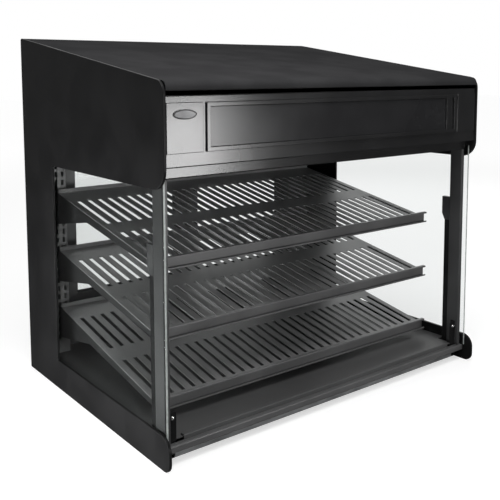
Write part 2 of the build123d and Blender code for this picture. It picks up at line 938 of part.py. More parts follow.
def shelf_deck(level):
    """Sloped sheet with two rows of slots and an upturned rear edge."""
    y_front = front + shelf_front
    run = (shelf_rear - y_front) / cos(slope)
    plane = Plane(
        origin=(0, y_front, deck_z(y_front, level)), x_dir=(1, 0, 0), z_dir=(0, -sin(slope), cos(slope))
    )
    pitch = (shelf_width - 2 * end_band - slot_width) / (slot_count - 1)
    first_x = -(slot_count - 1) * pitch / 2
    length = (run - front_band - middle_band - rear_band) / 2
    with BuildSketch(plane) as sheet_face:
        with Locations((0, run / 2)):
            Rectangle(shelf_width, run)
        for y0 in (front_band, front_band + length + middle_band):
            centres = [(first_x + i * pitch, y0 + length / 2) for i in range(slot_count)]
            with Locations(*centres):
                Rectangle(slot_width, length, mode=Mode.SUBTRACT)
    deck = extrude(sheet_face.sketch, -shelf_sheet)
    lip = plane * (
        Pos(0, run - shelf_sheet / 2, shelf_rear_lip / 2) * Box(shelf_width, shelf_sheet, shelf_rear_lip)
    )
    return joined([deck, lip])


def price_rail(level):
    """Channel along the deck's front edge, open to the front, for price tickets."""
    y1 = front + shelf_front
    y0 = y1 - rail_depth
    top = deck_z(front + shelf_front, level) + rail_above_deck
    bottom = top - rail_face_height
    path = [
        (y0, top - rail_hook), (y0, top), (y1, top), (y1, bottom), (y0, bottom), (y0, bottom + rail_hook),
    ]
    face = bent_strip(path, Side.RIGHT, radius=rail_radius)
    half = shelf_width / 2
    return profile_along_x(face, -half, half)


# Rear doors
def door_box():
    """Left door's outer limits: x0, x1, z0, z1."""
    return left + door_side, left + door_side + door_width, door_bottom, door_top


def door_frame():
    """Left door: frame with a groove for the pane and bores for the hinge pins."""
    x0, x1, z0, z1 = door_box()
    y0, y1 = door_rear - door_thickness, door_rear
    body = box_between(x0, x1, y0, y1, z0, z1)
    body = fillet(body.edges().filter_by(Axis.Z), door_edge_radius)
    s, r = door_stile, door_rail
    body -= box_between(x0 + s, x1 - s, y0, y1, z0 + r, z1 - r)
    lap = door_glass_lap
    mid = (y0 + y1) / 2
    half = door_glass_thickness / 2 + door_glass_gap
    body -= box_between(x0 + s - lap, x1 - s + lap, mid - half, mid + half, z0 + r - lap, z1 - r + lap)
    bore = hinge_pin_diameter / 2 + hinge_running_gap
    length = hinge_pin_length + cut_over
    body -= cylinder_along("Z", bore, (hinge_x, hinge_y, z0), length)
    body -= cylinder_along("Z", bore, (hinge_x, hinge_y, z1 - length), length)
    return body


def door_glass():
    """Left door's pane, set into the frame's groove."""
    x0, x1, z0, z1 = door_box()
    lap = door_glass_lap - door_glass_gap
    x0, x1 = x0 + door_stile - lap, x1 - door_stile + lap
    mid = door_rear - door_thickness / 2
    half = door_glass_thickness / 2
    return box_between(x0, x1, mid - half, mid + half, z0 + door_rail - lap, z1 - door_rail + lap)


def door_handle():
    """Left door's pull: a folded lip on the inner stile."""
    _, x1, z0, _ = door_box()
    x = x1 - handle_side
    y1 = door_rear + handle_projection
    path = [(x - handle_foot, door_rear), (x, door_rear), (x, y1), (x - handle_return, y1)]
    radii = [handle_foot_radius, handle_bend_radius]
    face = bent_strip(path, Side.LEFT, thickness=handle_thickness, radius=radii, plane=Plane.XY)
    bottom = z0 + handle_height_above_door
    return profile_upward(face, bottom, bottom + handle_length)


def hinge_pivot(top):
    """Left hinge plate with its pin, above or below the door."""
    x1 = left + door_side + hinge_plate_reach
    y0, y1 = door_rear - 2 * hinge_inset, door_rear
    if top:
        z0, pin_z = hood_rear_bottom - hinge_plate_thickness, door_top - hinge_pin_length
    else:
        z0, pin_z = riser_height, riser_height
    x0 = left + door_side - jamb_gap
    plate = box_between(x0, x1, y0, y1, z0, z0 + hinge_plate_thickness)
    plate = fillet(plate.edges().filter_by(Axis.Z).group_by(Axis.X)[-1], hinge_plate_radius)
    length = hinge_pin_length + hinge_plate_thickness + part_gap
    pin = cylinder_along("Z", hinge_pin_diameter / 2, (hinge_x, hinge_y, pin_z), length)
    return joined([plate, pin])


def hinge_pivots():
    """The left door's two hinge plates."""
    return group([hinge_pivot(False), hinge_pivot(True)])


def door_catches():
    """Magnet blocks that hang from the ceiling behind each door's top rail."""
    x1 = -door_gap / 2 - catch_side
    y1 = door_face
    block = box_between(
        x1 - catch_width, x1, y1 - catch_depth, y1, door_top - catch_overlap, ceiling_height
    )
    block = chamfer(block.faces().sort_by(Axis.Z)[0].edges(), catch_chamfer)
    return group([block, mirrored(block)])


# Controls
def recess_floor():
    """Y of the control recess's visible floor."""
    return door_rear - recess_depth


def control_x(index):
    """X of a control in the recess: 0 and 1 are the switches, 2 the lamp, 3 the knob."""
    x, _ = recess_centre()
    edge = x + recess_width / 2
    if index < 2:
        return edge - switch_first - index * switch_spacing
    knob_x = x - recess_width / 2 + knob_side
    return (control_x(1) + knob_x) / 2 + knob_diameter / 6 if index == 2 else knob_x


def control_pan():
    """Recessed plate that carries the switches, pilot lamp and thermostat."""
    x, z = recess_centre()
    half_w, half_h = recess_width / 2 - part_gap, recess_height / 2 - part_gap
    floor = recess_floor()
    pan = box_between(x - half_w, x + half_w, floor - sheet, door_rear, z - half_h, z + half_h)
    pan -= box_between(
        x - half_w + sheet, x + half_w - sheet, floor, door_rear, z - half_h + sheet, z + half_h - sheet
    )
    rim_w, rim_h = recess_width / 2 + recess_flange, recess_height / 2 + recess_flange
    back = door_rear - sheet
    rim = box_between(x - rim_w, x + rim_w, back - sheet, back, z - rim_h, z + rim_h)
    rim -= box_between(x - half_w, x + half_w, back - sheet, back, z - half_h, z + half_h)
    pan = joined([pan, rim])
    cut_w, cut_h = bezel_width / 2 - bezel_lap, bezel_height / 2 - bezel_lap
    for i in range(2):
        cx = control_x(i)
        pan -= box_between(cx - cut_w, cx + cut_w, floor - sheet, floor, z - cut_h, z + cut_h)
    lamp_hole = pilot_lamp_diameter / 2 - pilot_lamp_lip
    pan -= cylinder_along("Y", lamp_hole, (control_x(2), floor - sheet, z), sheet)
    shaft_hole = shaft_diameter / 2 + shaft_hole_gap
    return pan - cylinder_along("Y", shaft_hole, (control_x(3), floor - sheet, z), sheet)


def switch_bodies():
    """Two switch housings with a raised bezel round each rocker."""
    _, z = recess_centre()
    floor = recess_floor()
    bodies = []
    for i in range(2):
        x = control_x(i)
        bezel = box_between(
            x - bezel_width / 2, x + bezel_width / 2, floor, floor + bezel_proud,
            z - bezel_height / 2, z + bezel_height / 2,
        )
        bezel = fillet(bezel.edges().filter_by(Axis.Y), bezel_radius)
        lap = bezel_lap + part_gap
        half_w, half_h = bezel_width / 2 - lap, bezel_height / 2 - lap
        housing = box_between(
            x - half_w, x + half_w, floor - switch_body_depth, floor, z - half_h, z + half_h
        )
        well_w, well_h = rocker_width / 2 + rocker_gap, rocker_height / 2 + 2 * rocker_gap
        well_y = floor - rocker_thickness - rocker_well_gap
        well = box_between(
            x - well_w, x + well_w, well_y, floor + bezel_proud + cut_over, z - well_h, z + well_h
        )
        bore_start = (x - bezel_width, floor - rocker_axis_depth, z)
        bore = cylinder_along("X", rocker_pin_diameter / 2 + shaft_running_gap, bore_start, 2 * bezel_width)
        bodies.append(joined([bezel, housing]) - well - bore)
    return group(bodies)


def rocker(index):
    """Rocker cap with its pivot stubs, drawn pressed to the off side."""
    _, z = recess_centre()
    x = control_x(index)
    y = recess_floor() - rocker_axis_depth
    half_h = rocker_height / 2
    front_y = bezel_proud + rocker_axis_depth + rocker_bevel
    dip = tan(radians(rocker_tilt)) * half_h
    corners = [
        (-rocker_thickness + front_y, -half_h + rocker_bevel),
        (front_y + dip / 2, -half_h),
        (front_y - dip / 2, 0),
        (front_y + dip / 2, half_h),
        (-rocker_thickness + front_y, half_h - rocker_bevel),
    ]
    cap = profile_along_x(outline_face(corners), -rocker_width / 2, rocker_width / 2)
    reach = rocker_width / 2 + rocker_gap + rocker_pin_lap
    pin = cylinder_along("X", rocker_pin_diameter / 2, (-reach, 0, 0), 2 * reach)
    return Pos(x, y, z) * Rot(-rocker_tilt, 0, 0) * joined([cap, pin])


def pilot_lamp():
    """Round indicator lens beside the switches."""
    _, z = recess_centre()
    x, floor = control_x(2), recess_floor()
    lens = cylinder_along("Y", pilot_lamp_diameter / 2, (x, floor, z), pilot_lamp_proud)
    lens = fillet(lens.faces().sort_by(Axis.Y)[-1].edges(), pilot_lamp_radius)
    radius = pilot_lamp_diameter / 2 - pilot_lamp_lip - part_gap
    stem = cylinder_along("Y", radius, (x, floor - pilot_lamp_depth, z), pilot_lamp_depth)
    return joined([lens, stem])


def thermostat_body():
    """Thermostat behind the recess floor, with a bore for its shaft."""
    _, z = recess_centre()
    x, y1 = control_x(3), recess_floor() - sheet
    half = thermostat_width / 2
    body = box_between(x - half, x + half, y1 - thermostat_depth, y1, z - half, z + half)
    body = fillet(body.edges().filter_by(Axis.Y), thermostat_radius)
    bore = shaft_diameter / 2 + shaft_running_gap
    return body - cylinder_along("Y", bore, (x, y1 - shaft_length, z), shaft_length)


def thermostat_knob():
    """Fluted knob with its shaft."""
    _, z = recess_centre()
    x, y0 = control_x(3), recess_floor() + knob_gap
    knob = cylinder_along("Y", knob_diameter / 2, (x, y0, z), knob_height)
    knob = chamfer(knob.faces().sort_by(Axis.Y)[-1].edges(), knob_chamfer)
    for i in range(knob_grip_count):
        turn = Pos(x, 0, z) * Rot(0, i * 360 / knob_grip_count, 0)
        start = (knob_diameter / 2 + knob_grip_offset, y0 + knob_skirt, 0)
        knob -= turn * cylinder_along("Y", knob_grip_radius, start, knob_height)
    tip = y0 + knob_height
    pointer_half = pointer_width / 2
    pointer = box_between(
        x - pointer_half, x + pointer_half, tip, tip + pointer_height,
        z + 2 * pointer_width, z + knob_diameter / 2 - knob_chamfer - pointer_height,
    )
    reach = knob_gap + sheet + shaft_length - shaft_end_gap
    shaft = cylinder_along("Y", shaft_diameter / 2, (x, y0 - reach, z), reach)
    return joined([knob, pointer, shaft])


def cord_inlet():
    """Cord gland in the riser: threaded body, hexagon, dome and inner locknut."""
    x, z = left + gland_side, gland_height
    radius = gland_thread_diameter / 2
    behind = door_rear - sheet
    body = cylinder_along("Y", radius, (x, behind - gland_locknut_height, z), gland_locknut_height + sheet)
    place = Pos(x, door_rear, z) * Rot(-90, 0, 0)
    across = gland_nut_across_flats
    hexagon = place * extrude(RegularPolygon(across / 2, 6, major_radius=False), gland_nut_height)
    dome = place * Pos(0, 0, gland_nut_height) * Cone(
        across / 2 - gland_shoulder, gland_bore / 2 + gland_mouth_wall, gland_dome_height,
        align=(Align.CENTER, Align.CENTER, Align.MIN),
    )
    nut_place = Pos(x, behind - gland_locknut_height, z) * Rot(-90, 0, 0)
    locknut = nut_place * extrude(RegularPolygon(across / 2, 6, major_radius=False), gland_locknut_height)
    length = gland_locknut_height + sheet + gland_nut_height + gland_dome_height
    bore = cylinder_along("Y", gland_bore / 2, (x, behind - gland_locknut_height, z), length)
    return joined([body, hexagon, dome, locknut]) - bore


def all_nodes():
    """Every piece under its node name."""
    nodes = {
        "end_panel_left": end_panel(),
        "roof_panel": roof_panel(),
        "front_fascia": front_fascia(),
        "valance": valance(),
        "sign_frame": sign_frame(),
        "sign_panel": sign_panel(),
        "badge_plate": badge_plate(),
        "hood_rear_panel": hood_rear_panel(),
        "hood_ceiling": hood_ceiling(),
        "hood_reflectors": hood_reflectors(),
        "heater_rods": heater_rods(),
        "rod_brackets": rod_brackets(),
        "lamp_tube": lamp_tube(),
        "lamp_sockets": lamp_sockets(),
        "terminal_block": terminal_block(),
        "base_underpan": base_underpan(),
        "front_sill": front_sill(),
        "base_deck": base_deck(),
        "base_heater_mat": base_heater_mat(),
        "base_insulation": base_insulation(),
        "rubber_feet": rubber_feet(),
        "rear_riser": rear_riser(),
        "side_glass_left": side_glass(),
        "front_post_left": front_post(),
        "foot_screws": foot_screws(),
        "shelf_standard_left": shelf_standard(),
        "door_frame_left": door_frame(),
        "door_glass_left": door_glass(),
        "door_handle_left": door_handle(),
        "door_catches": door_catches(),
        "control_pan": control_pan(),
        "switch_bodies": switch_bodies(),
        "rocker_light": rocker(0),
        "rocker_heat": rocker(1),
        "pilot_lamp": pilot_lamp(),
        "thermostat_body": thermostat_body(),
        "thermostat_knob": thermostat_knob(),
        "cord_inlet": cord_inlet(),
    }
    for name in [n for n in nodes if n.endswith("_left")]:
        nodes[name.replace("_left", "_right")] = mirrored(nodes[name])
    pairs = {
        "base_side_rails": base_side_rail(),
        "door_jambs": door_jamb(),
        "post_sleeves": post_sleeve(),
        "post_clips": post_clip(),
        "foot_plates": foot_plate(),
        "hinge_pivots": hinge_pivots(),
    }
    for name, left_piece in pairs.items():
        nodes[name] = group([left_piece, mirrored(left_piece)])
    for level, word in enumerate(("top", "middle", "bottom")[:shelf_count]):
        bracket = shelf_bracket(level)
        nodes["shelf_brackets_" + word] = group([bracket, mirrored(bracket)])
        nodes["shelf_deck_" + word] = shelf_deck(level)
        nodes["price_rail_" + word] = price_rail(level)
    return nodes


os.makedirs("parts", exist_ok=True)
for node_name, node_shape in all_nodes().items():
    export_step(node_shape, "parts/" + node_name + ".step")
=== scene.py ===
"""Finishes, fine pieces, studio and camera for the heated counter-top display case."""

import json
import logging
import math
from contextlib import contextmanager
from dataclasses import dataclass
from enum import Enum
from typing import Callable, Iterator, Sequence

import bmesh
import bpy
from mathutils import Matrix, Vector


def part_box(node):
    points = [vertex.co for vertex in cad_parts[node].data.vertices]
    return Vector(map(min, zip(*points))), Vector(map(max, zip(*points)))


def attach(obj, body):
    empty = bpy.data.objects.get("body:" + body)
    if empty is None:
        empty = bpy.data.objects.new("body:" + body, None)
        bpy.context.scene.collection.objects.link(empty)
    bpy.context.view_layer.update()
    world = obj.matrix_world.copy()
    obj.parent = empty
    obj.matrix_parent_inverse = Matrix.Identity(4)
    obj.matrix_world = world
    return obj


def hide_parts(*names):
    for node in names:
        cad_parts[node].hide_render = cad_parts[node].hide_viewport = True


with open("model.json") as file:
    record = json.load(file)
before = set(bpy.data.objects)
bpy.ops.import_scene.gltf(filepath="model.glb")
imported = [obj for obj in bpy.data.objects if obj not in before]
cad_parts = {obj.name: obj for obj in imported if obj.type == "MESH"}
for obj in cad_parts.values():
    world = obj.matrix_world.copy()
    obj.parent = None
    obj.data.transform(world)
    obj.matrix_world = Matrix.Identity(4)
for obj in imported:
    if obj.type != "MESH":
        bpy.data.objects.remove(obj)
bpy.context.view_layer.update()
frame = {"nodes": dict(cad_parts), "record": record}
SLOT_OF = {part["node"]: part["material_slot"] for part in frame["record"]["subparts"]}
BODY_OF = {node: body for body, nodes in frame["record"]["behaviour"]["bodies"].items() for node in nodes}
MM = 0.001
WHITE = (1.0, 1.0, 1.0, 1.0)
NOISE_MIDDLE = (0.35, 0.65)
logger = logging.getLogger("display_case")

Colour = tuple[float, float, float]
Place = Sequence[float]
Span = tuple[float, float]
Piece = bpy.types.Object
Socket = bpy.types.NodeSocket
FaceTest = Callable[[Vector, Vector], bool]


class Side(Enum):
    """The two ends of the case, as the sign of X."""

    LEFT = -1
    RIGHT = 1

    @property
    def word(self) -> str:
        """The side's name as the nodes spell it."""
        return self.name.lower()


class Tier(Enum):
    """The three shelves, from the top down."""

    TOP = "top"
    MIDDLE = "middle"
    BOTTOM = "bottom"


class NodeTree:
    """The nodes of a material or of the world, with short calls for what both share."""

    def __init__(self, owner: bpy.types.Material | bpy.types.World) -> None:
        """Empty the owner's nodes.

        Args:
            owner: The material or the world.
        """
        owner.use_nodes = True
        self.tree = owner.node_tree
        self.tree.nodes.clear()

    def add(self, kind: str, **settings: object) -> bpy.types.Node:
        """Add a node and set its plain properties.

        Args:
            kind: The node's Blender type.
            settings: Property names and values.

        Returns:
            The new node.
        """
        node = self.tree.nodes.new(kind)
        for key, value in settings.items():
            setattr(node, key, value)
        return node

    def link(self, source: Socket, target: Socket) -> None:
        """Join two sockets."""
        self.tree.links.new(source, target)

    def result(self, operation: str, first: Socket, second: Socket | float, clamp: bool = False) -> Socket:
        """Work out one number from two.

        Args:
            operation: The Math node's operation.
            first: The first number.
            second: The second one, a socket or a plain value.
            clamp: Whether the result is held between 0 and 1.

        Returns:
            The result.
        """
        node = self.add("ShaderNodeMath", operation=operation, use_clamp=clamp)
        self.link(first, node.inputs[0])
        if isinstance(second, float):
            node.inputs[1].default_value = second
        else:
            self.link(second, node.inputs[1])
        return node.outputs[0]

    def mixed(self, factor: Socket, first: Socket, second: Socket) -> Socket:
        """Change from one shader to another.

        Args:
            factor: How much of the second one shows, from 0 to 1.
            first: The shader at 0.
            second: The shader at 1.

        Returns:
            The mixed shader.
        """
        node = self.add("ShaderNodeMixShader")
        for source, target in zip((factor, first, second), node.inputs):
            self.link(source, target)
        return node.outputs[0]

    def spread(
        self, value: Socket, low: float, high: float, source: Span = NOISE_MIDDLE,
        curve: str = "SMOOTHSTEP",
    ) -> Socket:
        """Map a value onto a new range.

        Args:
            value: The value, such as a pattern.
            low: The result at the source range's low end.
            high: The result at its high end.
            source: The part of the value's range that is used.
            curve: How the result runs from low to high.

        Returns:
            The mapped value.
        """
        node = self.add("ShaderNodeMapRange", interpolation_type=curve)
        node.inputs["From Min"].default_value, node.inputs["From Max"].default_value = source
        node.inputs["To Min"].default_value = low
        node.inputs["To Max"].default_value = high
        self.link(value, node.inputs["Value"])
        return node.outputs[0]

    def ray_kinds(self) -> tuple[Socket, Socket, Socket]:
        """Tell how a ray has come to a surface.

        Returns:
            Whether it is seen straight or through glass, was mirrored by a gloss, and has just left a glass.
        """
        path = self.add("ShaderNodeLightPath").outputs
        through = path["Is Transmission Ray"]
        bounces = self.result("ADD", path["Diffuse Depth"], path["Glossy Depth"])
        either = self.result("MAXIMUM", path["Is Camera Ray"], through)
        seen = self.result("SUBTRACT", either, bounces, clamp=True)
        return seen, self.result("MINIMUM", path["Glossy Depth"], 1.0), through


class Graph(NodeTree):
    """A material's nodes, with short calls for what the finishes share."""

    def __init__(self, name: str) -> None:
        """Start a material that holds one Principled shader.

        Args:
            name: The material's name.
        """
        self.material = bpy.data.materials.new(name)
        super().__init__(self.material)
        self.output = self.add("ShaderNodeOutputMaterial")
        self.shader = self.add("ShaderNodeBsdfPrincipled")
        self.link(self.shader.outputs[0], self.output.inputs["Surface"])
        self.place = self.add("ShaderNodeTexCoord").outputs["Object"]

    def put(self, name: str, value: float | tuple[float, ...]) -> None:
        """Set one of the shader's own sockets."""
        self.shader.inputs[name].default_value = value

    def noise(self, size: float, detail: float = 2.0, stretch: Colour = (1.0, 1.0, 1.0)) -> Socket:
        """Soft random pattern between 0 and 1.

        Args:
            size: The size of one blotch, in metres.
            detail: The number of finer layers.
            stretch: How much the pattern is squeezed along each axis.

        Returns:
            The pattern's value.
        """
        mapping = self.add("ShaderNodeMapping")
        mapping.inputs["Scale"].default_value = stretch
        self.link(self.place, mapping.inputs["Vector"])
        node = self.add("ShaderNodeTexNoise")
        node.inputs["Scale"].default_value = 1.0 / size
        node.inputs["Detail"].default_value = detail
        self.link(mapping.outputs[0], node.inputs["Vector"])
        return node.outputs[0]

    def grains(self, size: float) -> Socket:
        """Cell pattern that gives each small grain its own height.

        Args:
            size: The size of one grain, in metres.

        Returns:
            The distance to the grain's middle.
        """
        node = self.add("ShaderNodeTexVoronoi")
        node.inputs["Scale"].default_value = 1.0 / size
        self.link(self.place, node.inputs["Vector"])
        return node.outputs["Distance"]

    def tone(self, pattern: Socket, first: Colour, second: Colour) -> None:
        """Colour the surface by a pattern.

        Args:
            pattern: The pattern's value.
            first: The colour where it is low.
            second: The colour where it is high.
        """
        node = self.add("ShaderNodeMix", data_type="RGBA")
        node.inputs["A"].default_value = (*first, 1.0)
        node.inputs["B"].default_value = (*second, 1.0)
        self.link(self.spread(pattern, 0.0, 1.0), node.inputs["Factor"])
        self.link(node.outputs["Result"], self.shader.inputs["Base Color"])

    def polish(self, pattern: Socket, low: float, high: float, source: Span = NOISE_MIDDLE) -> None:
        """Let the roughness follow a pattern."""
        self.link(self.spread(pattern, low, high, source), self.shader.inputs["Roughness"])

    def bump(self, *layers: tuple[Socket, float, float]) -> None:
        """Chain bumps into the shader's normal.

        Args:
            layers: For each bump its pattern, strength and depth in metres.
        """
        normal = None
        for height, strength, depth in layers:
            node = self.add("ShaderNodeBump")
            node.inputs["Strength"].default_value = strength
            node.inputs["Distance"].default_value = depth
            self.link(height, node.inputs["Height"])
            if normal is not None:
                self.link(normal, node.inputs["Normal"])
            normal = node.outputs[0]
        self.link(normal, self.shader.inputs["Normal"])


@dataclass(frozen=True)
class Paint:
    """Stoved paint on sheet steel: a base colour, gloss, and the fine peel of a sprayed coat."""

    name: str
    colour: Colour
    roughness: float
    gloss_spread: float = 0.05
    peel_size: float = 0.0022
    peel_depth: float = 0.00004
    dust: float = 0.15
    shine: float = 0.5
    cloud_size: float = 0.11
    speck_size: float = 0.0016

    def build(self) -> bpy.types.Material:
        """Make the material.

        Returns:
            The finished material.
        """
        net = Graph(self.name)
        cloud = net.noise(self.cloud_size, 4.0)
        peel, speck = net.noise(self.peel_size, 1.0), net.noise(self.speck_size)
        net.tone(cloud, self.colour, tuple(c * (1.0 + self.dust) + 0.002 for c in self.colour))
        net.polish(cloud, self.roughness - self.gloss_spread, self.roughness + self.gloss_spread)
        net.put("Specular IOR Level", self.shine)
        net.bump((peel, 0.5, self.peel_depth), (speck, 0.25, self.peel_depth / 3))
        return net.material


@dataclass(frozen=True)
class Metal:
    """Bare or plated metal with a drawn grain along one axis."""

    name: str
    colour: Colour
    roughness: float
    grain: Colour = (1.0, 60.0, 60.0)
    grain_size: float = 0.02
    grain_depth: float = 0.00003
    cloud_size: float = 0.05
    gloss_spread: Span = (-0.05, 0.07)
    darkest: float = 0.78

    def build(self) -> bpy.types.Material:
        """Make the material.

        Returns:
            The finished material.
        """
        net = Graph(self.name)
        streak = net.noise(self.grain_size, 3.0, self.grain)
        net.tone(streak, tuple(c * self.darkest for c in self.colour), self.colour)
        net.put("Metallic", 1.0)
        net.polish(net.noise(self.cloud_size, 3.0), *[self.roughness + step for step in self.gloss_spread])
        net.bump((streak, 0.4, self.grain_depth))
        return net.material


@dataclass(frozen=True)
class Plastic:
    """Moulded plastic or rubber with a fine spark-eroded grain."""

    name: str
    colour: Colour
    roughness: float
    grain_size: float = 0.0009
    grain_depth: float = 0.00005
    passes_light: float = 0.0
    cloud_size: float = 0.03
    gloss_spread: float = 0.05
    lightest: float = 1.25

    def build(self) -> bpy.types.Material:
        """Make the material.

        Returns:
            The finished material.
        """
        net = Graph(self.name)
        cloud = net.noise(self.cloud_size, 3.0)
        net.tone(cloud, self.colour, tuple(min(1.0, c * self.lightest + 0.003) for c in self.colour))
        net.polish(cloud, self.roughness - self.gloss_spread, self.roughness + self.gloss_spread)
        net.put("Transmission Weight", self.passes_light)
        net.bump((net.grains(self.grain_size), 0.4, self.grain_depth))
        return net.material


@dataclass(frozen=True)
class Glass:
    """Clear float glass that lets the lamps through, with faint wiping marks."""

    name: str
    tint: Colour
    roughness: float = 0.0
    smear: float = 0.02
    bend: float = 1.2
    lamp_share: float = 0.96
    mark_size: float = 0.09
    mark_range: Span = (0.45, 0.75)

    def build(self) -> bpy.types.Material:
        """Make the material.

        Returns:
            The finished material.
        """
        net = Graph(self.name)
        marks = net.noise(self.mark_size, 4.0, (1.0, 1.0, 0.35))
        net.put("Base Color", (*self.tint, 1.0))
        net.polish(marks, self.roughness, self.roughness + self.smear, self.mark_range)
        net.put("Transmission Weight", 1.0)
        net.put("IOR", self.bend)
        clear = net.add("ShaderNodeBsdfTransparent")
        clear.inputs["Color"].default_value = (*[c * self.lamp_share for c in self.tint], 1.0)
        shadow = net.add("ShaderNodeLightPath").outputs["Is Shadow Ray"]
        net.link(net.mixed(shadow, net.shader.outputs[0], clear.outputs[0]), net.output.inputs["Surface"])
        return net.material


@dataclass(frozen=True)
class GroundEdge:
    """The milky ground edge of thick glass."""

    name: str
    colour: Colour
    passes_light: float = 0.35
    roughness: Span = (0.3, 0.5)
    frost_size: float = 0.006
    grain_size: float = 0.0006
    darkest: float = 0.8

    def build(self) -> bpy.types.Material:
        """Make the material.

        Returns:
            The finished material.
        """
        net = Graph(self.name)
        frost = net.noise(self.frost_size, 3.0)
        net.tone(frost, tuple(c * self.darkest for c in self.colour), self.colour)
        net.polish(frost, *self.roughness)
        net.put("Transmission Weight", self.passes_light)
        net.bump((net.grains(self.grain_size), 0.3, 0.00003))
        return net.material


@dataclass(frozen=True)
class Wool:
    """Loose mineral wool."""

    name: str
    colour: Colour
    roughness: Span = (0.85, 1.0)
    fibre_size: float = 0.004
    darkest: float = 0.7

    def build(self) -> bpy.types.Material:
        """Make the material.

        Returns:
            The finished material.
        """
        net = Graph(self.name)
        fibre = net.noise(self.fibre_size, 6.0, (1.0, 3.0, 5.0))
        net.tone(fibre, tuple(c * self.darkest for c in self.colour), self.colour)
        net.polish(fibre, *self.roughness)
        net.bump((fibre, 0.8, 0.001))
        return net.material


class Finishes:
    """Every finish on the case, each made once."""

    TABLE = {
        "case_paint": Paint("satin_black_paint", (0.008, 0.008, 0.0083), 0.42, shine=0.1),
        "roof_paint": Paint("roof_black_paint", (0.027, 0.027, 0.028), 0.8, shine=0.0),
        "hood_paint": Paint("hood_black_paint", (0.012, 0.012, 0.0125), 0.2, gloss_spread=0.01),
        "sign_black": Paint("sign_black_paint", (0.014, 0.014, 0.015), 0.2, gloss_spread=0.01, shine=0.36),
        "badge_metal": Metal("badge_plate_metal", (0.10, 0.10, 0.102), 0.36, (1.0, 1.0, 60.0)),
        "shelf_paint": Paint("shelf_gloss_enamel", (0.17, 0.17, 0.171), 0.33, peel_size=0.004, shine=0.8),
        "rail_paint": Paint("rail_paint", (0.1, 0.1, 0.101), 0.34),
        "standard_steel": Paint("grey_hammer_paint", (0.16, 0.16, 0.16), 0.42, peel_size=0.003),
        "post_paint": Paint("grey_post_paint", (0.036, 0.036, 0.037), 0.4, peel_size=0.003),
        "tray_paint": Paint("tray_enamel", (0.06, 0.06, 0.0605), 0.45, peel_depth=0.00002, shine=0.3),
        "sill_paint": Paint("sill_satin_enamel", (0.078, 0.078, 0.079), 0.36),
        "arm_paint": Paint("arm_black_paint", (0.016, 0.016, 0.0165), 0.42, shine=0.35),
        # Painted light: the same black paint as the case, made lighter so that the rear pieces look lit.
        "painted_light_rear_paint": Paint("rear_black_paint", (0.04, 0.04, 0.041), 0.4, shine=0.5),
        "clear_glass": Glass("clear_pane", (0.87, 0.885, 0.88)),
        "ground_edge": GroundEdge("ground_glass_edge", (0.56, 0.6, 0.58)),
        "inner_steel": Metal("galvanised_sheet", (0.48, 0.49, 0.50), 0.42, (1.0, 8.0, 8.0), 0.03),
        "reflector": Metal("reflector_sheet", (0.72, 0.72, 0.73), 0.2),
        "heater_sheath": Metal("heater_sheath", (0.26, 0.24, 0.22), 0.45, (20.0, 1.0, 1.0)),
        "lamp_glass": Plastic("frosted_tube", (0.86, 0.86, 0.83), 0.22, passes_light=0.25),
        "socket_plastic": Plastic("socket_white", (0.62, 0.62, 0.59), 0.45),
        "control_black": Plastic("control_black", (0.024, 0.024, 0.025), 0.48),
        "rocker_plastic": Plastic("rocker_gloss", (0.02, 0.02, 0.021), 0.2, grain_depth=0.00001),
        "lens_amber": Plastic("amber_lens", (0.62, 0.22, 0.03), 0.12, passes_light=0.5),
        "foot_rubber": Plastic("foot_rubber", (0.022, 0.022, 0.022), 0.75, 0.0012),
        "insulation_wool": Wool("mineral_wool", (0.55, 0.52, 0.42)),
        "mat_silicone": Plastic("silicone_mat", (0.34, 0.07, 0.04), 0.6),
        "bright_screw": Metal("plated_screw", (0.80, 0.80, 0.80), 0.22, (8.0, 8.0, 8.0)),
        "hinge_steel": Metal("plated_steel", (0.42, 0.42, 0.43), 0.36, (1.0, 1.0, 40.0)),
        "handle_alu": Metal("black_anodised", (0.07, 0.07, 0.072), 0.36, (60.0, 60.0, 1.0)),
    }

    def __init__(self) -> None:
        """Make every material."""
        self.made = {slot: finish.build() for slot, finish in self.TABLE.items()}

    def dress(self, piece: Piece, slot: str) -> None:
        """Give a piece one finish.

        Args:
            piece: The piece.
            slot: The finish's slot name.
        """
        piece.data.materials.clear()
        piece.data.materials.append(self.made[slot])

    def dress_nodes(self) -> None:
        """Give every carried-over solid the finish of its slot in the record."""
        for node, slot in SLOT_OF.items():
            self.dress(frame["nodes"][node], slot)


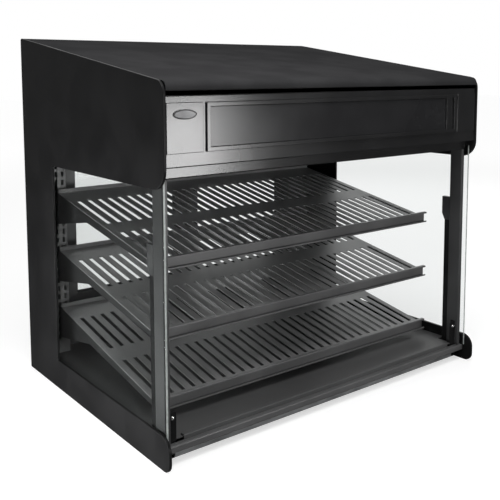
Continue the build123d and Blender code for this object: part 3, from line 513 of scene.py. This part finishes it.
class Bench:
    """The workbench: primitives, edit-mode steps and modifiers, one piece at a time. Angles in degrees."""

    AXES = {"X": Vector((1, 0, 0)), "Y": Vector((0, 1, 0)), "Z": Vector((0, 0, 1))}
    TURNS = {"X": (0, math.pi / 2, 0), "Y": (-math.pi / 2, 0, 0), "Z": (0, 0, 0)}
    SAME_PLACE = 0.00001
    FLAT_ANGLE = 0.5
    FACING = 0.9
    SHADE_MARGIN = 16.0
    HEAD_SIDES = 24
    HEAD_RIM = 0.4
    HEAD_STEPS = ((0.16, 0.3), (0.22, 0.2), (0.2, 0.1), (0.02, -0.35), (0.12, -0.1))
    HEAD_ANGLE = 50.0

    @staticmethod
    def clear() -> None:
        """Leave edit mode and deselect everything."""
        if bpy.context.object is not None and bpy.context.object.mode != "OBJECT":
            bpy.ops.object.mode_set(mode="OBJECT")
        bpy.ops.object.select_all(action="DESELECT")

    @staticmethod
    def pick(piece: Piece) -> None:
        """Select one piece and make it active.

        Args:
            piece: The piece.
        """
        Bench.clear()
        piece.select_set(True)
        bpy.context.view_layer.objects.active = piece

    @staticmethod
    def settle() -> None:
        """Put the selected piece's place, turn and size into its mesh."""
        bpy.ops.object.transform_apply(location=True, rotation=True, scale=True)

    @staticmethod
    def named(name: str) -> Piece:
        """Name the new primitive and settle its place in its mesh.

        Args:
            name: The piece's name.

        Returns:
            The piece.
        """
        piece = bpy.context.object
        piece.name = piece.data.name = name
        Bench.settle()
        return piece

    @staticmethod
    def block(name: str, low: Place, high: Place) -> Piece:
        """A box between two corners.

        Args:
            name: The piece's name.
            low: Its lowest corner, in metres.
            high: Its highest corner.

        Returns:
            The piece.
        """
        Bench.clear()
        centre = [(a + b) / 2 for a, b in zip(low, high)]
        size = [b - a for a, b in zip(low, high)]
        bpy.ops.mesh.primitive_cube_add(size=1.0, location=centre, scale=size)
        return Bench.named(name)

    @staticmethod
    def disc(name: str, axis: str, radius: float, start: Place, length: float, sides: int) -> Piece:
        """A round bar from a start point along +X, +Y or +Z.

        Args:
            name: The piece's name.
            axis: X, Y or Z.
            radius: The bar's radius, in metres.
            start: The middle of its first end.
            length: Its length.
            sides: How many sides its outline has.

        Returns:
            The piece.
        """
        Bench.clear()
        middle = Vector(start) + Bench.AXES[axis] * length / 2
        bpy.ops.mesh.primitive_cylinder_add(
            vertices=sides, radius=radius, depth=length, location=middle, rotation=Bench.TURNS[axis]
        )
        return Bench.named(name)

    @staticmethod
    @contextmanager
    def editing(piece: Piece, mode: str = "FACE") -> Iterator[None]:
        """Edit mode on one piece, with nothing selected.

        Args:
            piece: The piece.
            mode: VERT, EDGE or FACE.

        Yields:
            Nothing, while the piece is in edit mode.
        """
        Bench.pick(piece)
        bpy.ops.object.mode_set(mode="EDIT")
        bpy.ops.mesh.select_mode(type=mode)
        bpy.ops.mesh.select_all(action="DESELECT")
        yield
        bpy.ops.object.mode_set(mode="OBJECT")

    @staticmethod
    def select_faces(piece: Piece, test: FaceTest) -> None:
        """Select the faces that pass a test, in edit mode.

        Args:
            piece: The piece that is being edited.
            test: Takes a face's middle and normal.
        """
        mesh = bmesh.from_edit_mesh(piece.data)
        mesh.normal_update()
        for face in mesh.faces:
            face.select_set(test(face.calc_center_median(), face.normal))
        bmesh.update_edit_mesh(piece.data)

    @staticmethod
    def soften(piece: Piece, width: float, segments: int = 2, angle: float = 32.0) -> None:
        """Round off the sharp edges and shade the rest smooth.

        Args:
            piece: The piece.
            width: The rounding, in millimetres.
            segments: Faces across each rounding.
            angle: Edges sharper than this many degrees are rounded.
        """
        Bench.pick(piece)
        bevel = piece.modifiers.new("edges", "BEVEL")
        bevel.width = width * MM
        bevel.segments = segments
        bevel.limit_method = "ANGLE"
        bevel.angle_limit = math.radians(angle)
        bpy.ops.object.modifier_apply(modifier=bevel.name)
        Bench.smooth(piece, angle + Bench.SHADE_MARGIN)

    @staticmethod
    def smooth(piece: Piece, angle: float) -> None:
        """Shade the small turns smooth while the wide flat faces stay flat.

        Args:
            piece: The piece.
            angle: Edges sharper than this many degrees stay crisp.
        """
        Bench.pick(piece)
        bpy.ops.object.shade_smooth_by_angle(angle=math.radians(angle))
        normals = piece.modifiers.new("normals", "WEIGHTED_NORMAL")
        normals.mode = "FACE_AREA"
        normals.weight = 100
        normals.keep_sharp = True
        bpy.ops.object.modifier_apply(modifier=normals.name)

    @staticmethod
    def traced(node: str, name: str) -> Piece:
        """A clean, merged copy of a carried-over solid, ready for edge work.

        Args:
            node: The solid's node name.
            name: The new piece's name.

        Returns:
            The piece.
        """
        source = frame["nodes"][node]
        piece = bpy.data.objects.new(name, source.data.copy())
        piece.data.name = name
        bpy.context.scene.collection.objects.link(piece)
        Bench.pick(piece)
        if piece.data.has_custom_normals:
            bpy.ops.mesh.customdata_custom_splitnormals_clear()
        with Bench.editing(piece, "VERT"):
            bpy.ops.mesh.select_all(action="SELECT")
            bpy.ops.mesh.remove_doubles(threshold=Bench.SAME_PLACE)
            bpy.ops.mesh.dissolve_limited(angle_limit=math.radians(Bench.FLAT_ANGLE))
        return piece

    @staticmethod
    def stepped(piece: Piece, way: Vector, steps: Sequence[tuple[float, float]]) -> None:
        """Shape one flat end by insets, each drawn in by a width and raised or sunk.

        Args:
            piece: The piece.
            way: The way that the end faces.
            steps: For each inset its width and its height in millimetres, sunk where it is negative.
        """
        with Bench.editing(piece):
            reach = max(vertex.co.dot(way) for vertex in piece.data.vertices) - Bench.SAME_PLACE
            Bench.select_faces(
                piece, lambda middle, normal: normal.dot(way) > Bench.FACING and middle.dot(way) > reach
            )
            for inward, rise in steps:
                bpy.ops.mesh.inset(thickness=inward * MM, depth=rise * MM, use_even_offset=True)

    @staticmethod
    def hollowed(piece: Piece, way: Vector, wall: float) -> None:
        """Cut a straight hole through a piece and leave an even wall round it.

        Args:
            piece: The piece.
            way: The way of the hole.
            wall: The wall's width, in millimetres.
        """
        with Bench.editing(piece):
            Bench.select_faces(piece, lambda middle, normal: abs(normal.dot(way)) > Bench.FACING)
            bpy.ops.mesh.inset(thickness=wall * MM, use_even_offset=True)
            bpy.ops.mesh.bridge_edge_loops()

    @staticmethod
    def copied(piece: Piece, name: str, shift: Place) -> Piece:
        """A copy of a finished piece, with its own mesh, at another place.

        Args:
            piece: The piece.
            name: The copy's name.
            shift: How far it is moved, in metres.

        Returns:
            The copy.
        """
        Bench.pick(piece)
        bpy.ops.object.duplicate(linked=False)
        bpy.ops.transform.translate(value=shift)
        return Bench.named(name)

    @staticmethod
    def screw(name: str, facing: int, seat: Vector, radius: float, height: float) -> Piece:
        """A domed screw head with a round recess.

        Args:
            name: The piece's name.
            facing: 1 for +Y, or -1 for -Y.
            seat: The middle of its seat, in metres.
            radius: Its radius, in millimetres.
            height: Its height, in millimetres.

        Returns:
            The piece.
        """
        way = Bench.AXES["Y"] * facing
        rim = height * Bench.HEAD_RIM * MM
        start = seat if facing > 0 else seat + way * rim
        head = Bench.disc(name, "Y", radius * MM, start, rim, Bench.HEAD_SIDES)
        Bench.stepped(head, way, [(radius * inward, height * rise) for inward, rise in Bench.HEAD_STEPS])
        Bench.smooth(head, Bench.HEAD_ANGLE)
        return head

    @staticmethod
    def joined(pieces: Sequence[Piece], name: str) -> Piece:
        """Join pieces into one.

        Args:
            pieces: The pieces, which stop being separate.
            name: The joined piece's name.

        Returns:
            The joined piece.
        """
        Bench.clear()
        for piece in pieces:
            piece.select_set(True)
        bpy.context.view_layer.objects.active = pieces[0]
        bpy.ops.object.join()
        pieces[0].name = pieces[0].data.name = name
        return pieces[0]


@dataclass
class Assembly:
    """What every sub-assembly shares. Lengths are in millimetres, and places of screws in metres."""

    finishes: Finishes
    fold_round: float = 0.35
    screw_radius: float = 4.2
    screw_height: float = 2.6

    def seat(
        self, piece: Piece, slot: str, body: str = "case", replaces: Sequence[str] = (),
        finish: str | None = None,
    ) -> None:
        """Dress a piece, ride it on its body and hide the carried-over nodes that it stands for.

        Args:
            piece: The piece.
            slot: Its slot in the record.
            body: The body it moves with.
            replaces: The carried-over nodes that it stands for.
            finish: Its finish, or none for the one of its slot.
        """
        self.finishes.dress(piece, finish or slot)
        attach(piece, body)
        if replaces:
            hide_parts(*replaces)
        logger.info("%s on %s in %s", piece.name, body, slot)

    def refine(
        self, node: str, width: float | None = None, segments: int = 2, finish: str | None = None
    ) -> None:
        """Carry a solid's own shape over with rounded, light-catching edges.

        Args:
            node: The solid's node name.
            width: The rounding in millimetres, or none for a fold's usual rounding.
            segments: Faces across each rounding.
            finish: Its finish, or none for the one of its slot in the record.
        """
        piece = Bench.traced(node, f"{node}_formed")
        Bench.soften(piece, self.fold_round if width is None else width, segments)
        self.seat(piece, SLOT_OF[node], BODY_OF[node], [node], finish)

    def screws(
        self, name: str, seats: Sequence[Vector], facing: int = 1, replaces: Sequence[str] = ()
    ) -> None:
        """Equal screw heads, modelled once and copied.

        Args:
            name: The name that the joined heads get.
            seats: The middle of each head's seat, in metres.
            facing: 1 for +Y, or -1 for -Y.
            replaces: The carried-over nodes that they stand for.
        """
        first = Bench.screw(name, facing, seats[0], self.screw_radius, self.screw_height)
        rest = [Bench.copied(first, f"{name}_{i}", seat - seats[0]) for i, seat in enumerate(seats[1:], 1)]
        self.seat(Bench.joined([first, *rest], name), "bright_screw", replaces=replaces)


@dataclass
class HoodShell(Assembly):
    """Roof, fascia with its blank sign and badge, valance, ceiling and rear wall."""

    badge_rim: float = 2.0
    badge_sink: float = 0.7
    badge_dish: float = 0.8
    badge_crown: float = 0.21
    badge_angle: float = 40.0
    badge_sides: int = 72
    frame_round: float = 0.3
    sign_round: float = 0.25
    screw_columns: tuple[float, ...] = (-0.425, -0.255, -0.085, 0.085)
    screw_inset: float = 0.013

    def build(self) -> None:
        """Make the hood."""
        for node in ("roof_panel", "front_fascia", "valance", "hood_ceiling"):
            self.refine(node)
        # The rear wall wears the lighter rear paint, which is painted light.
        self.refine("hood_rear_panel", self.frame_round, finish="painted_light_rear_paint")
        self.refine("sign_frame", self.frame_round)
        self.refine("sign_panel", self.sign_round)
        self.make_badge()
        self.make_rear_screws()

    def make_badge(self) -> None:
        """The blank oval badge: a dished plate with a raised, rounded rim."""
        low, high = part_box("badge_plate")
        centre = (low + high) / 2
        width, height = (high - low).x, (high - low).z
        thickness = high.y - low.y
        badge = Bench.disc("oval_badge", "Y", width / 2, (0.0, low.y, 0.0), thickness, self.badge_sides)
        Bench.pick(badge)
        bpy.ops.transform.resize(value=(1.0, 1.0, height / width))
        badge.location.x, badge.location.z = centre.x, centre.z
        Bench.settle()
        half_rim = self.badge_rim / 2
        steps = [(half_rim, 0.0), (half_rim, -self.badge_sink), (self.badge_dish, self.badge_crown)]
        Bench.stepped(badge, -Bench.AXES["Y"], steps)
        Bench.soften(badge, self.frame_round, angle=self.badge_angle)
        self.seat(badge, "badge_metal", "case", ["badge_plate"])

    def make_rear_screws(self) -> None:
        """The pan-head screws along the rear wall's lower and upper edges."""
        low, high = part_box("hood_rear_panel")
        rows = (low.z + self.screw_inset, high.z - self.screw_inset)
        seats = [Vector((x, high.y, z)) for z in rows for x in self.screw_columns]
        seats += [Vector((-x, high.y, rows[1])) for x in self.screw_columns[:2]]
        seats += [Vector((-self.screw_columns[0], high.y, rows[0]))]
        self.screws("hood_rear_screws", seats)


@dataclass
class EndPanels(Assembly):
    """The two C-shaped end plates."""

    plate_round: float = 0.8

    def build(self) -> None:
        """Make both end plates."""
        for side in Side:
            self.refine(f"end_panel_{side.word}", self.plate_round, 3)


@dataclass
class HeatAndLight(Assembly):
    """Reflector troughs, heater rods and the strip lamp under the ceiling."""

    sheet_round: float = 0.3
    tube_round: float = 0.25
    socket_depth: float = 12.5
    cap_length: float = 13.0
    cap_proud: float = 0.35
    cap_wall: float = 0.5
    cap_round: float = 0.12
    cap_sides: int = 40
    bead_radius: float = 7.0
    bead_length: float = 16.0
    bead_inset: float = 22.0
    bead_rim: float = 1.2
    bead_neck: float = 0.8
    bead_sink: float = 1.5
    bead_round: float = 0.8
    bead_sides: int = 32

    def build(self) -> None:
        """Make the heat and light fittings."""
        for node in ("hood_reflectors", "rod_brackets", "lamp_sockets", "heater_rods"):
            self.refine(node, self.sheet_round)
        self.refine("lamp_tube", self.tube_round)
        self.make_lamp_caps()
        self.make_rod_beads()

    def make_lamp_caps(self) -> None:
        """Thin metal caps round both ends of the lamp."""
        low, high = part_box("lamp_tube")
        left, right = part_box("lamp_sockets")
        centre = (low + high) / 2
        radius = (high.z - low.z) / 2 + self.cap_proud * MM
        start = (left.x + self.socket_depth * MM, centre.y, centre.z)
        cap = Bench.disc("lamp_caps", "X", radius, start, self.cap_length * MM, self.cap_sides)
        Bench.hollowed(cap, Bench.AXES["X"], self.cap_wall)
        Bench.soften(cap, self.cap_round)
        far = right.x - left.x - (2 * self.socket_depth + self.cap_length) * MM
        other = Bench.copied(cap, "lamp_cap_far", (far, 0.0, 0.0))
        self.seat(Bench.joined([cap, other], "lamp_caps"), "hinge_steel")

    def make_rod_beads(self) -> None:
        """Ceramic beads that carry the four rod ends outside their brackets."""
        low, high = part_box("heater_rods")
        radius, length = (high.z - low.z) / 2, self.bead_length * MM
        reach = high.x - self.bead_inset * MM
        steps = [(self.bead_rim, 0.0), (self.bead_neck, -self.bead_sink)]
        beads = []
        for y in (low.y + radius, high.y - radius):
            for side in Side:
                start = (reach - length if side is Side.RIGHT else -reach, y, (low.z + high.z) / 2)
                bead = Bench.disc("rod_beads", "X", self.bead_radius * MM, start, length, self.bead_sides)
                Bench.stepped(bead, Bench.AXES["X"] * side.value, steps)
                Bench.soften(bead, self.bead_round, 3)
                beads.append(bead)
        self.seat(Bench.joined(beads, "rod_beads"), "socket_plastic")


@dataclass
class BaseTray(Assembly):
    """Heated floor, its rails and sill, the rear riser with the cord inlet, and the feet."""

    gland_round: float = 0.25
    foot_radius: float = 16.0
    foot_lip: float = 3.0
    foot_slope: float = 0.8
    foot_dish: float = 1.6
    foot_round: float = 1.1
    foot_sides: int = 40
    screw_radius: float = 3.8
    screw_height: float = 2.4
    screw_columns: tuple[float, ...] = (-0.425, -0.215, 0.0, 0.215, 0.425)
    screw_inset: float = 0.014

    def build(self) -> None:
        """Make the base."""
        self.refine("base_deck", finish="tray_paint")
        # The riser wears the lighter rear paint, which is painted light.
        self.refine("rear_riser", finish="painted_light_rear_paint")
        self.refine("front_sill", finish="sill_paint")
        for node in ("base_side_rails", "base_underpan"):
            self.refine(node)
        self.refine("cord_inlet", self.gland_round)
        self.make_feet()
        low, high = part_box("rear_riser")
        rows = (low.z + self.screw_inset, high.z - self.screw_inset)
        seats = [Vector((x, high.y, z)) for z in rows for x in self.screw_columns]
        self.screws("riser_screws", seats)

    def make_feet(self) -> None:
        """Four rubber feet, each with a dished sole and a soft rim."""
        low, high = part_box("rubber_feet")
        radius = self.foot_radius * MM
        corner = Vector((low.x + radius, low.y + radius, low.z))
        foot = Bench.disc("rubber_foot", "Z", radius, corner, high.z - low.z, self.foot_sides)
        steps = [(self.foot_lip, 0.0), (self.foot_slope, -self.foot_dish)]
        Bench.stepped(foot, -Bench.AXES["Z"], steps)
        Bench.soften(foot, self.foot_round, 3)
        across, along = high.x - low.x - 2 * radius, high.y - low.y - 2 * radius
        feet = [foot]
        for i, shift in enumerate(((across, 0.0, 0.0), (0.0, along, 0.0), (across, along, 0.0)), 2):
            feet.append(Bench.copied(foot, f"rubber_foot_{i}", shift))
        self.seat(Bench.joined(feet, "dished_feet"), "foot_rubber", "case", ["rubber_feet"])


@dataclass
class GlassFront(Assembly):
    """Side panes, the uprights behind their front edges, and what holds these."""

    glass_round: float = 0.25
    post_round: float = 0.3
    sleeve_round: float = 0.4
    clip_round: float = 0.5
    edge_inset: float = 0.9
    edge_depth: float = 0.25
    edge_round: float = 0.2
    screw_radius: float = 4.5
    screw_height: float = 3.0

    def build(self) -> None:
        """Make the panes and uprights of both sides."""
        for side in Side:
            self.refine(f"side_glass_{side.word}", self.glass_round)
            self.refine(f"front_post_{side.word}", self.post_round, finish="post_paint")
            self.make_ground_edge(side)
        self.refine("post_sleeves", self.sleeve_round)
        self.refine("post_clips", self.clip_round, 3)
        self.refine("foot_plates", self.post_round)
        self.make_foot_screws()

    def make_ground_edge(self, side: Side) -> None:
        """The pale ground front edge of a pane.

        Args:
            side: The end of the case.
        """
        low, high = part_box(f"side_glass_{side.word}")
        inset, depth = self.edge_inset * MM, self.edge_depth * MM
        edge = Bench.block(
            f"ground_edge_{side.word}",
            (low.x + inset, low.y - depth, low.z + inset),
            (high.x - inset, low.y + depth, high.z - inset),
        )
        Bench.soften(edge, self.edge_round, 3)
        self.seat(edge, "clear_glass", finish="ground_edge")

    def make_foot_screws(self) -> None:
        """The two bright screws low on the uprights' foot plates."""
        low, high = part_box("foot_screws")
        radius = self.screw_radius * MM
        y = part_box("foot_plates")[0].y
        z = (low.z + high.z) / 2
        seats = [Vector((x, y, z)) for x in (low.x + radius, high.x - radius)]
        self.screws("upright_screws", seats, -1, ["foot_screws"])


@dataclass
class ShelfSet(Assembly):
    """The perforated standards and the three sloped shelves with their ticket rails and arms."""

    standard_round: float = 0.3
    slot_round: float = 0.45
    rail_round: float = 0.4

    def build(self) -> None:
        """Make the standards, arms, decks and rails."""
        for side in Side:
            self.refine(f"shelf_standard_{side.word}", self.standard_round)
        for tier in Tier:
            self.refine(f"shelf_deck_{tier.value}", self.slot_round)
            self.refine(f"price_rail_{tier.value}", self.rail_round)
            self.refine(f"shelf_brackets_{tier.value}", self.rail_round, finish="arm_paint")


@dataclass
class RearDoors(Assembly):
    """The two glazed doors with their gaskets and handles, the jambs, hinges and catches."""

    frame_round: float = 0.5
    glass_round: float = 0.25
    handle_round: float = 0.6
    pin_round: float = 0.3
    catch_round: float = 0.4
    gasket_wall: float = 4.0
    gasket_proud: float = 1.6
    gasket_inset: float = 7.8
    gasket_round: float = 0.5
    screw_radius: float = 3.4
    screw_height: float = 2.2
    jamb_step: float = 19.3
    jamb_screw_side: float = 0.014
    jamb_screw_heights: tuple[float, ...] = (0.165, 0.34, 0.515)

    def build(self) -> None:
        """Make the doors and what they hang in."""
        for side in Side:
            # The door frames wear the lighter rear paint, which is painted light.
            self.refine(f"door_frame_{side.word}", self.frame_round, 3, "painted_light_rear_paint")
            self.refine(f"door_glass_{side.word}", self.glass_round)
            self.refine(f"door_handle_{side.word}", self.handle_round, 3)
            self.make_gaskets(side)
        # The jambs wear the lighter rear paint, which is painted light.
        self.refine("door_jambs", finish="painted_light_rear_paint")
        self.refine("hinge_pivots", self.pin_round)
        self.refine("door_catches", self.catch_round)
        low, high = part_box("door_jambs")
        seats = [
            Vector((side.value * (high.x - self.jamb_screw_side), high.y - self.jamb_step * MM, z))
            for side in Side for z in self.jamb_screw_heights
        ]
        self.screws("jamb_screws", seats)

    def make_gaskets(self, side: Side) -> None:
        """Rubber gaskets round both faces of a door's pane.

        Args:
            side: Which door.
        """
        low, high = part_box(f"door_glass_{side.word}")
        inset, proud = self.gasket_inset * MM, self.gasket_proud * MM
        rings = []
        for y0, y1 in ((low.y - proud, low.y), (high.y, high.y + proud)):
            ring = Bench.block(
                "pane_gasket", (low.x + inset, y0, low.z + inset), (high.x - inset, y1, high.z - inset)
            )
            Bench.hollowed(ring, Bench.AXES["Y"], self.gasket_wall)
            Bench.soften(ring, self.gasket_round, 3)
            rings.append(ring)
        self.seat(Bench.joined(rings, f"pane_gaskets_{side.word}"), "foot_rubber", f"door_{side.word}")


@dataclass
class ControlPanel(Assembly):
    """The recessed controls at the rear: two rockers, a pilot lamp and the thermostat."""

    button_round: float = 0.4
    lens_round: float = 0.3
    tick_count: int = 11
    long_every: int = 5
    tick_sweep: float = 270.0
    tick_inner: float = 21.5
    tick_length: float = 4.0
    long_tick: float = 1.6
    tick_width: float = 0.9
    tick_proud: float = 0.25
    tick_round: float = 0.12
    recess_sheet: float = 1.5

    def build(self) -> None:
        """Make the controls."""
        # The control pan wears the lighter rear paint, which is painted light.
        self.refine("control_pan", finish="painted_light_rear_paint")
        for node in ("switch_bodies", "thermostat_knob", "pilot_lamp", "rocker_light", "rocker_heat"):
            self.refine(node, self.lens_round if node == "pilot_lamp" else self.button_round, 3)
        self.make_dial_ticks()

    def make_dial_ticks(self) -> None:
        """The printed marks of the thermostat's scale, longer at both ends and in the middle."""
        low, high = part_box("thermostat_knob")
        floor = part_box("control_pan")[0].y + self.recess_sheet * MM
        centre = Vector(((low.x + high.x) / 2, floor, (low.z + high.z) / 2))
        half, proud, foot = self.tick_width * MM / 2, self.tick_proud * MM, self.tick_inner * MM
        ticks = []
        for i in range(self.tick_count):
            longer = self.long_tick if i % self.long_every == 0 else 1.0
            top = (self.tick_inner + self.tick_length * longer) * MM
            tick = Bench.block(f"dial_tick_{i}", (-half, -proud, foot), (half, proud, top))
            Bench.soften(tick, self.tick_round)
            Bench.pick(tick)
            share = i / (self.tick_count - 1) - 0.5
            tick.rotation_euler = (0.0, math.radians(self.tick_sweep * share), 0.0)
            tick.location = centre
            Bench.settle()
            ticks.append(tick)
        self.seat(Bench.joined(ticks, "dial_ticks"), "socket_plastic")


@dataclass(frozen=True)
class SoftLamp:
    """A soft rectangular lamp that neither the camera nor the glass sees, in metres and watts."""

    name: str
    place: Place
    aim: Place
    size: tuple[float, float]
    power: float

    def build(self) -> None:
        """Set up the lamp."""
        Bench.clear()
        bpy.ops.object.light_add(type="AREA", location=self.place)
        lamp = bpy.context.object
        lamp.name = self.name
        lamp.rotation_euler = (Vector(self.aim) - Vector(self.place)).to_track_quat("-Z", "Y").to_euler()
        lamp.data.shape = "RECTANGLE"
        lamp.data.size, lamp.data.size_y = self.size
        lamp.data.energy = self.power
        lamp.visible_camera = lamp.visible_transmission = False


@dataclass(frozen=True)
class Viewpoint:
    """The photograph's viewpoint, fitted to the edges of the case, in radians, pixels and metres."""

    yaw: float = 0.6568
    pitch: float = -0.1018
    roll: float = -0.0029
    focal: float = 753.56
    image_width: float = 500.0
    place: Place = (-1.1484, -1.4788, 0.74304)
    shift: float = -0.2
    sensor: float = 36.0
    far: float = 100.0

    def build(self) -> None:
        """Set up the camera."""
        data = bpy.data.cameras.new("photograph")
        camera = bpy.data.objects.new("photograph", data)
        bpy.context.scene.collection.objects.link(camera)
        bpy.context.scene.camera = camera
        level = Vector((math.sin(self.yaw), math.cos(self.yaw), 0.0)) * math.cos(self.pitch)
        forward = level + Vector((0.0, 0.0, math.sin(self.pitch)))
        right = Vector((math.cos(self.yaw), -math.sin(self.yaw), 0.0))
        up = right.cross(forward)
        x_axis = right * math.cos(self.roll) + up * math.sin(self.roll)
        y_axis = up * math.cos(self.roll) - right * math.sin(self.roll)
        turn = Matrix((x_axis, y_axis, -forward)).transposed().to_4x4()
        camera.matrix_world = Matrix.Translation(Vector(self.place)) @ turn
        data.sensor_width = self.sensor
        data.lens = self.focal * self.sensor / self.image_width
        data.shift_y = self.shift
        data.clip_end = self.far


@dataclass
class Studio:
    """Floor, backdrop, lamps and the photograph's camera."""

    LAMPS = (
        SoftLamp("front_softbox", (0.86, -2.4, 0.34), (-0.40, -0.33, 0.6), (0.5, 0.6), 17.0),
        SoftLamp("top_softbox", (-0.3, -0.9, 3.0), (0.0, 0.0, 0.4), (2.2, 2.2), 60.0),
        SoftLamp("right_softbox", (2.3, 1.9, 1.9), (0.2, 0.0, 0.3), (1.4, 1.4), 16.0),
        SoftLamp("left_card", (-1.0, -0.1, 0.12), (-0.4, -0.1, 0.12), (0.7, 0.25), 10.0),
        SoftLamp("roof_card", (-0.35, -0.55, 1.4), (-0.3, -0.2, 0.75), (0.2, 0.3), 4.0),
    )
    floor_size: float = 40.0
    floor_drop: float = 0.0002
    floor_colour: Colour = (0.5, 0.5, 0.5)
    floor_roughness: float = 0.9
    floor_shine: float = 0.1
    near_glow: float = 0.62
    far_glow: float = 0.82
    glow_reach: Span = (0.7, 6.0)
    floor_gloss: float = 0.06
    backdrop_turn: float = 0.6568
    backdrop_start: float = 30.0
    backdrop_end: float = 56.0
    studio_gloss: float = 0.12
    front_fill: float = 0.12
    rear_fill: float = 1.2
    rear_start: float = 0.2

    def build(self) -> None:
        """Set up the whole studio."""
        self.make_floor()
        self.make_world()
        for lamp in self.LAMPS:
            lamp.build()
        Viewpoint().build()
        bpy.context.scene.view_settings.view_transform = "Standard"
        logger.info("studio ready")

    def make_floor(self) -> None:
        """Pale floor that keeps the shadow close to the case and turns white further out."""
        Bench.clear()
        bpy.ops.mesh.primitive_plane_add(size=self.floor_size, location=(0.0, 0.0, -self.floor_drop))
        floor = bpy.context.object
        floor.name = "studio_floor"
        net = Graph("studio_floor")
        net.put("Base Color", (*self.floor_colour, 1.0))
        net.put("Roughness", self.floor_roughness)
        net.put("Specular IOR Level", self.floor_shine)
        seen, glossy, _ = net.ray_kinds()
        far = net.add("ShaderNodeVectorMath", operation="LENGTH")
        net.link(net.place, far.inputs[0])
        glow = net.spread(far.outputs["Value"], self.near_glow, self.far_glow, self.glow_reach)
        light = net.add("ShaderNodeEmission")
        net.link(net.result("MULTIPLY", seen, glow), light.inputs["Strength"])
        total = net.add("ShaderNodeAddShader")
        net.link(net.shader.outputs[0], total.inputs[0])
        net.link(light.outputs[0], total.inputs[1])
        mirrored = net.add("ShaderNodeEmission")
        mirrored.inputs["Strength"].default_value = self.floor_gloss
        net.link(net.mixed(glossy, total.outputs[0], mirrored.outputs[0]), net.output.inputs["Surface"])
        floor.data.materials.append(net.material)

    def make_world(self) -> None:
        """White backdrop for the eye, glass and gloss, with a quieter studio around it."""
        world = bpy.data.worlds.new("studio")
        bpy.context.scene.world = world
        net = NodeTree(world)
        seen, glossy, through = net.ray_kinds()
        way = net.add("ShaderNodeTexCoord").outputs["Generated"]
        facing = net.add("ShaderNodeVectorMath", operation="DOT_PRODUCT")
        facing.inputs[1].default_value = (math.sin(self.backdrop_turn), math.cos(self.backdrop_turn), 0.0)
        net.link(way, facing.inputs[0])
        edges = (math.cos(math.radians(self.backdrop_end)), math.cos(math.radians(self.backdrop_start)))
        level = net.spread(facing.outputs["Value"], self.studio_gloss, 1.0, edges)
        behind = net.add("ShaderNodeSeparateXYZ")
        net.link(way, behind.inputs[0])
        outside = net.result("SUBTRACT", behind.outputs["Y"], through)
        amount = net.spread(outside, self.front_fill, self.rear_fill, (self.rear_start, 1.0), "LINEAR")
        fill, shine, white = (net.add("ShaderNodeBackground") for _ in range(3))
        for node in (fill, shine, white):
            node.inputs["Color"].default_value = WHITE
        net.link(amount, fill.inputs["Strength"])
        net.link(level, shine.inputs["Strength"])
        unseen = net.mixed(glossy, fill.outputs[0], shine.outputs[0])
        surface = net.add("ShaderNodeOutputWorld").inputs["Surface"]
        net.link(net.mixed(seen, unseen, white.outputs[0]), surface)


def main() -> None:
    """Dress the case, build its fine pieces and set up the studio."""
    logging.basicConfig(level=logging.INFO, format="%(name)s: %(message)s")
    finishes = Finishes()
    finishes.dress_nodes()
    parts = (EndPanels, HoodShell, HeatAndLight, BaseTray, GlassFront, ShelfSet, RearDoors, ControlPanel)
    for assembly in parts:
        assembly(finishes).build()
    Studio().build()


if __name__ == "__main__":
    main()
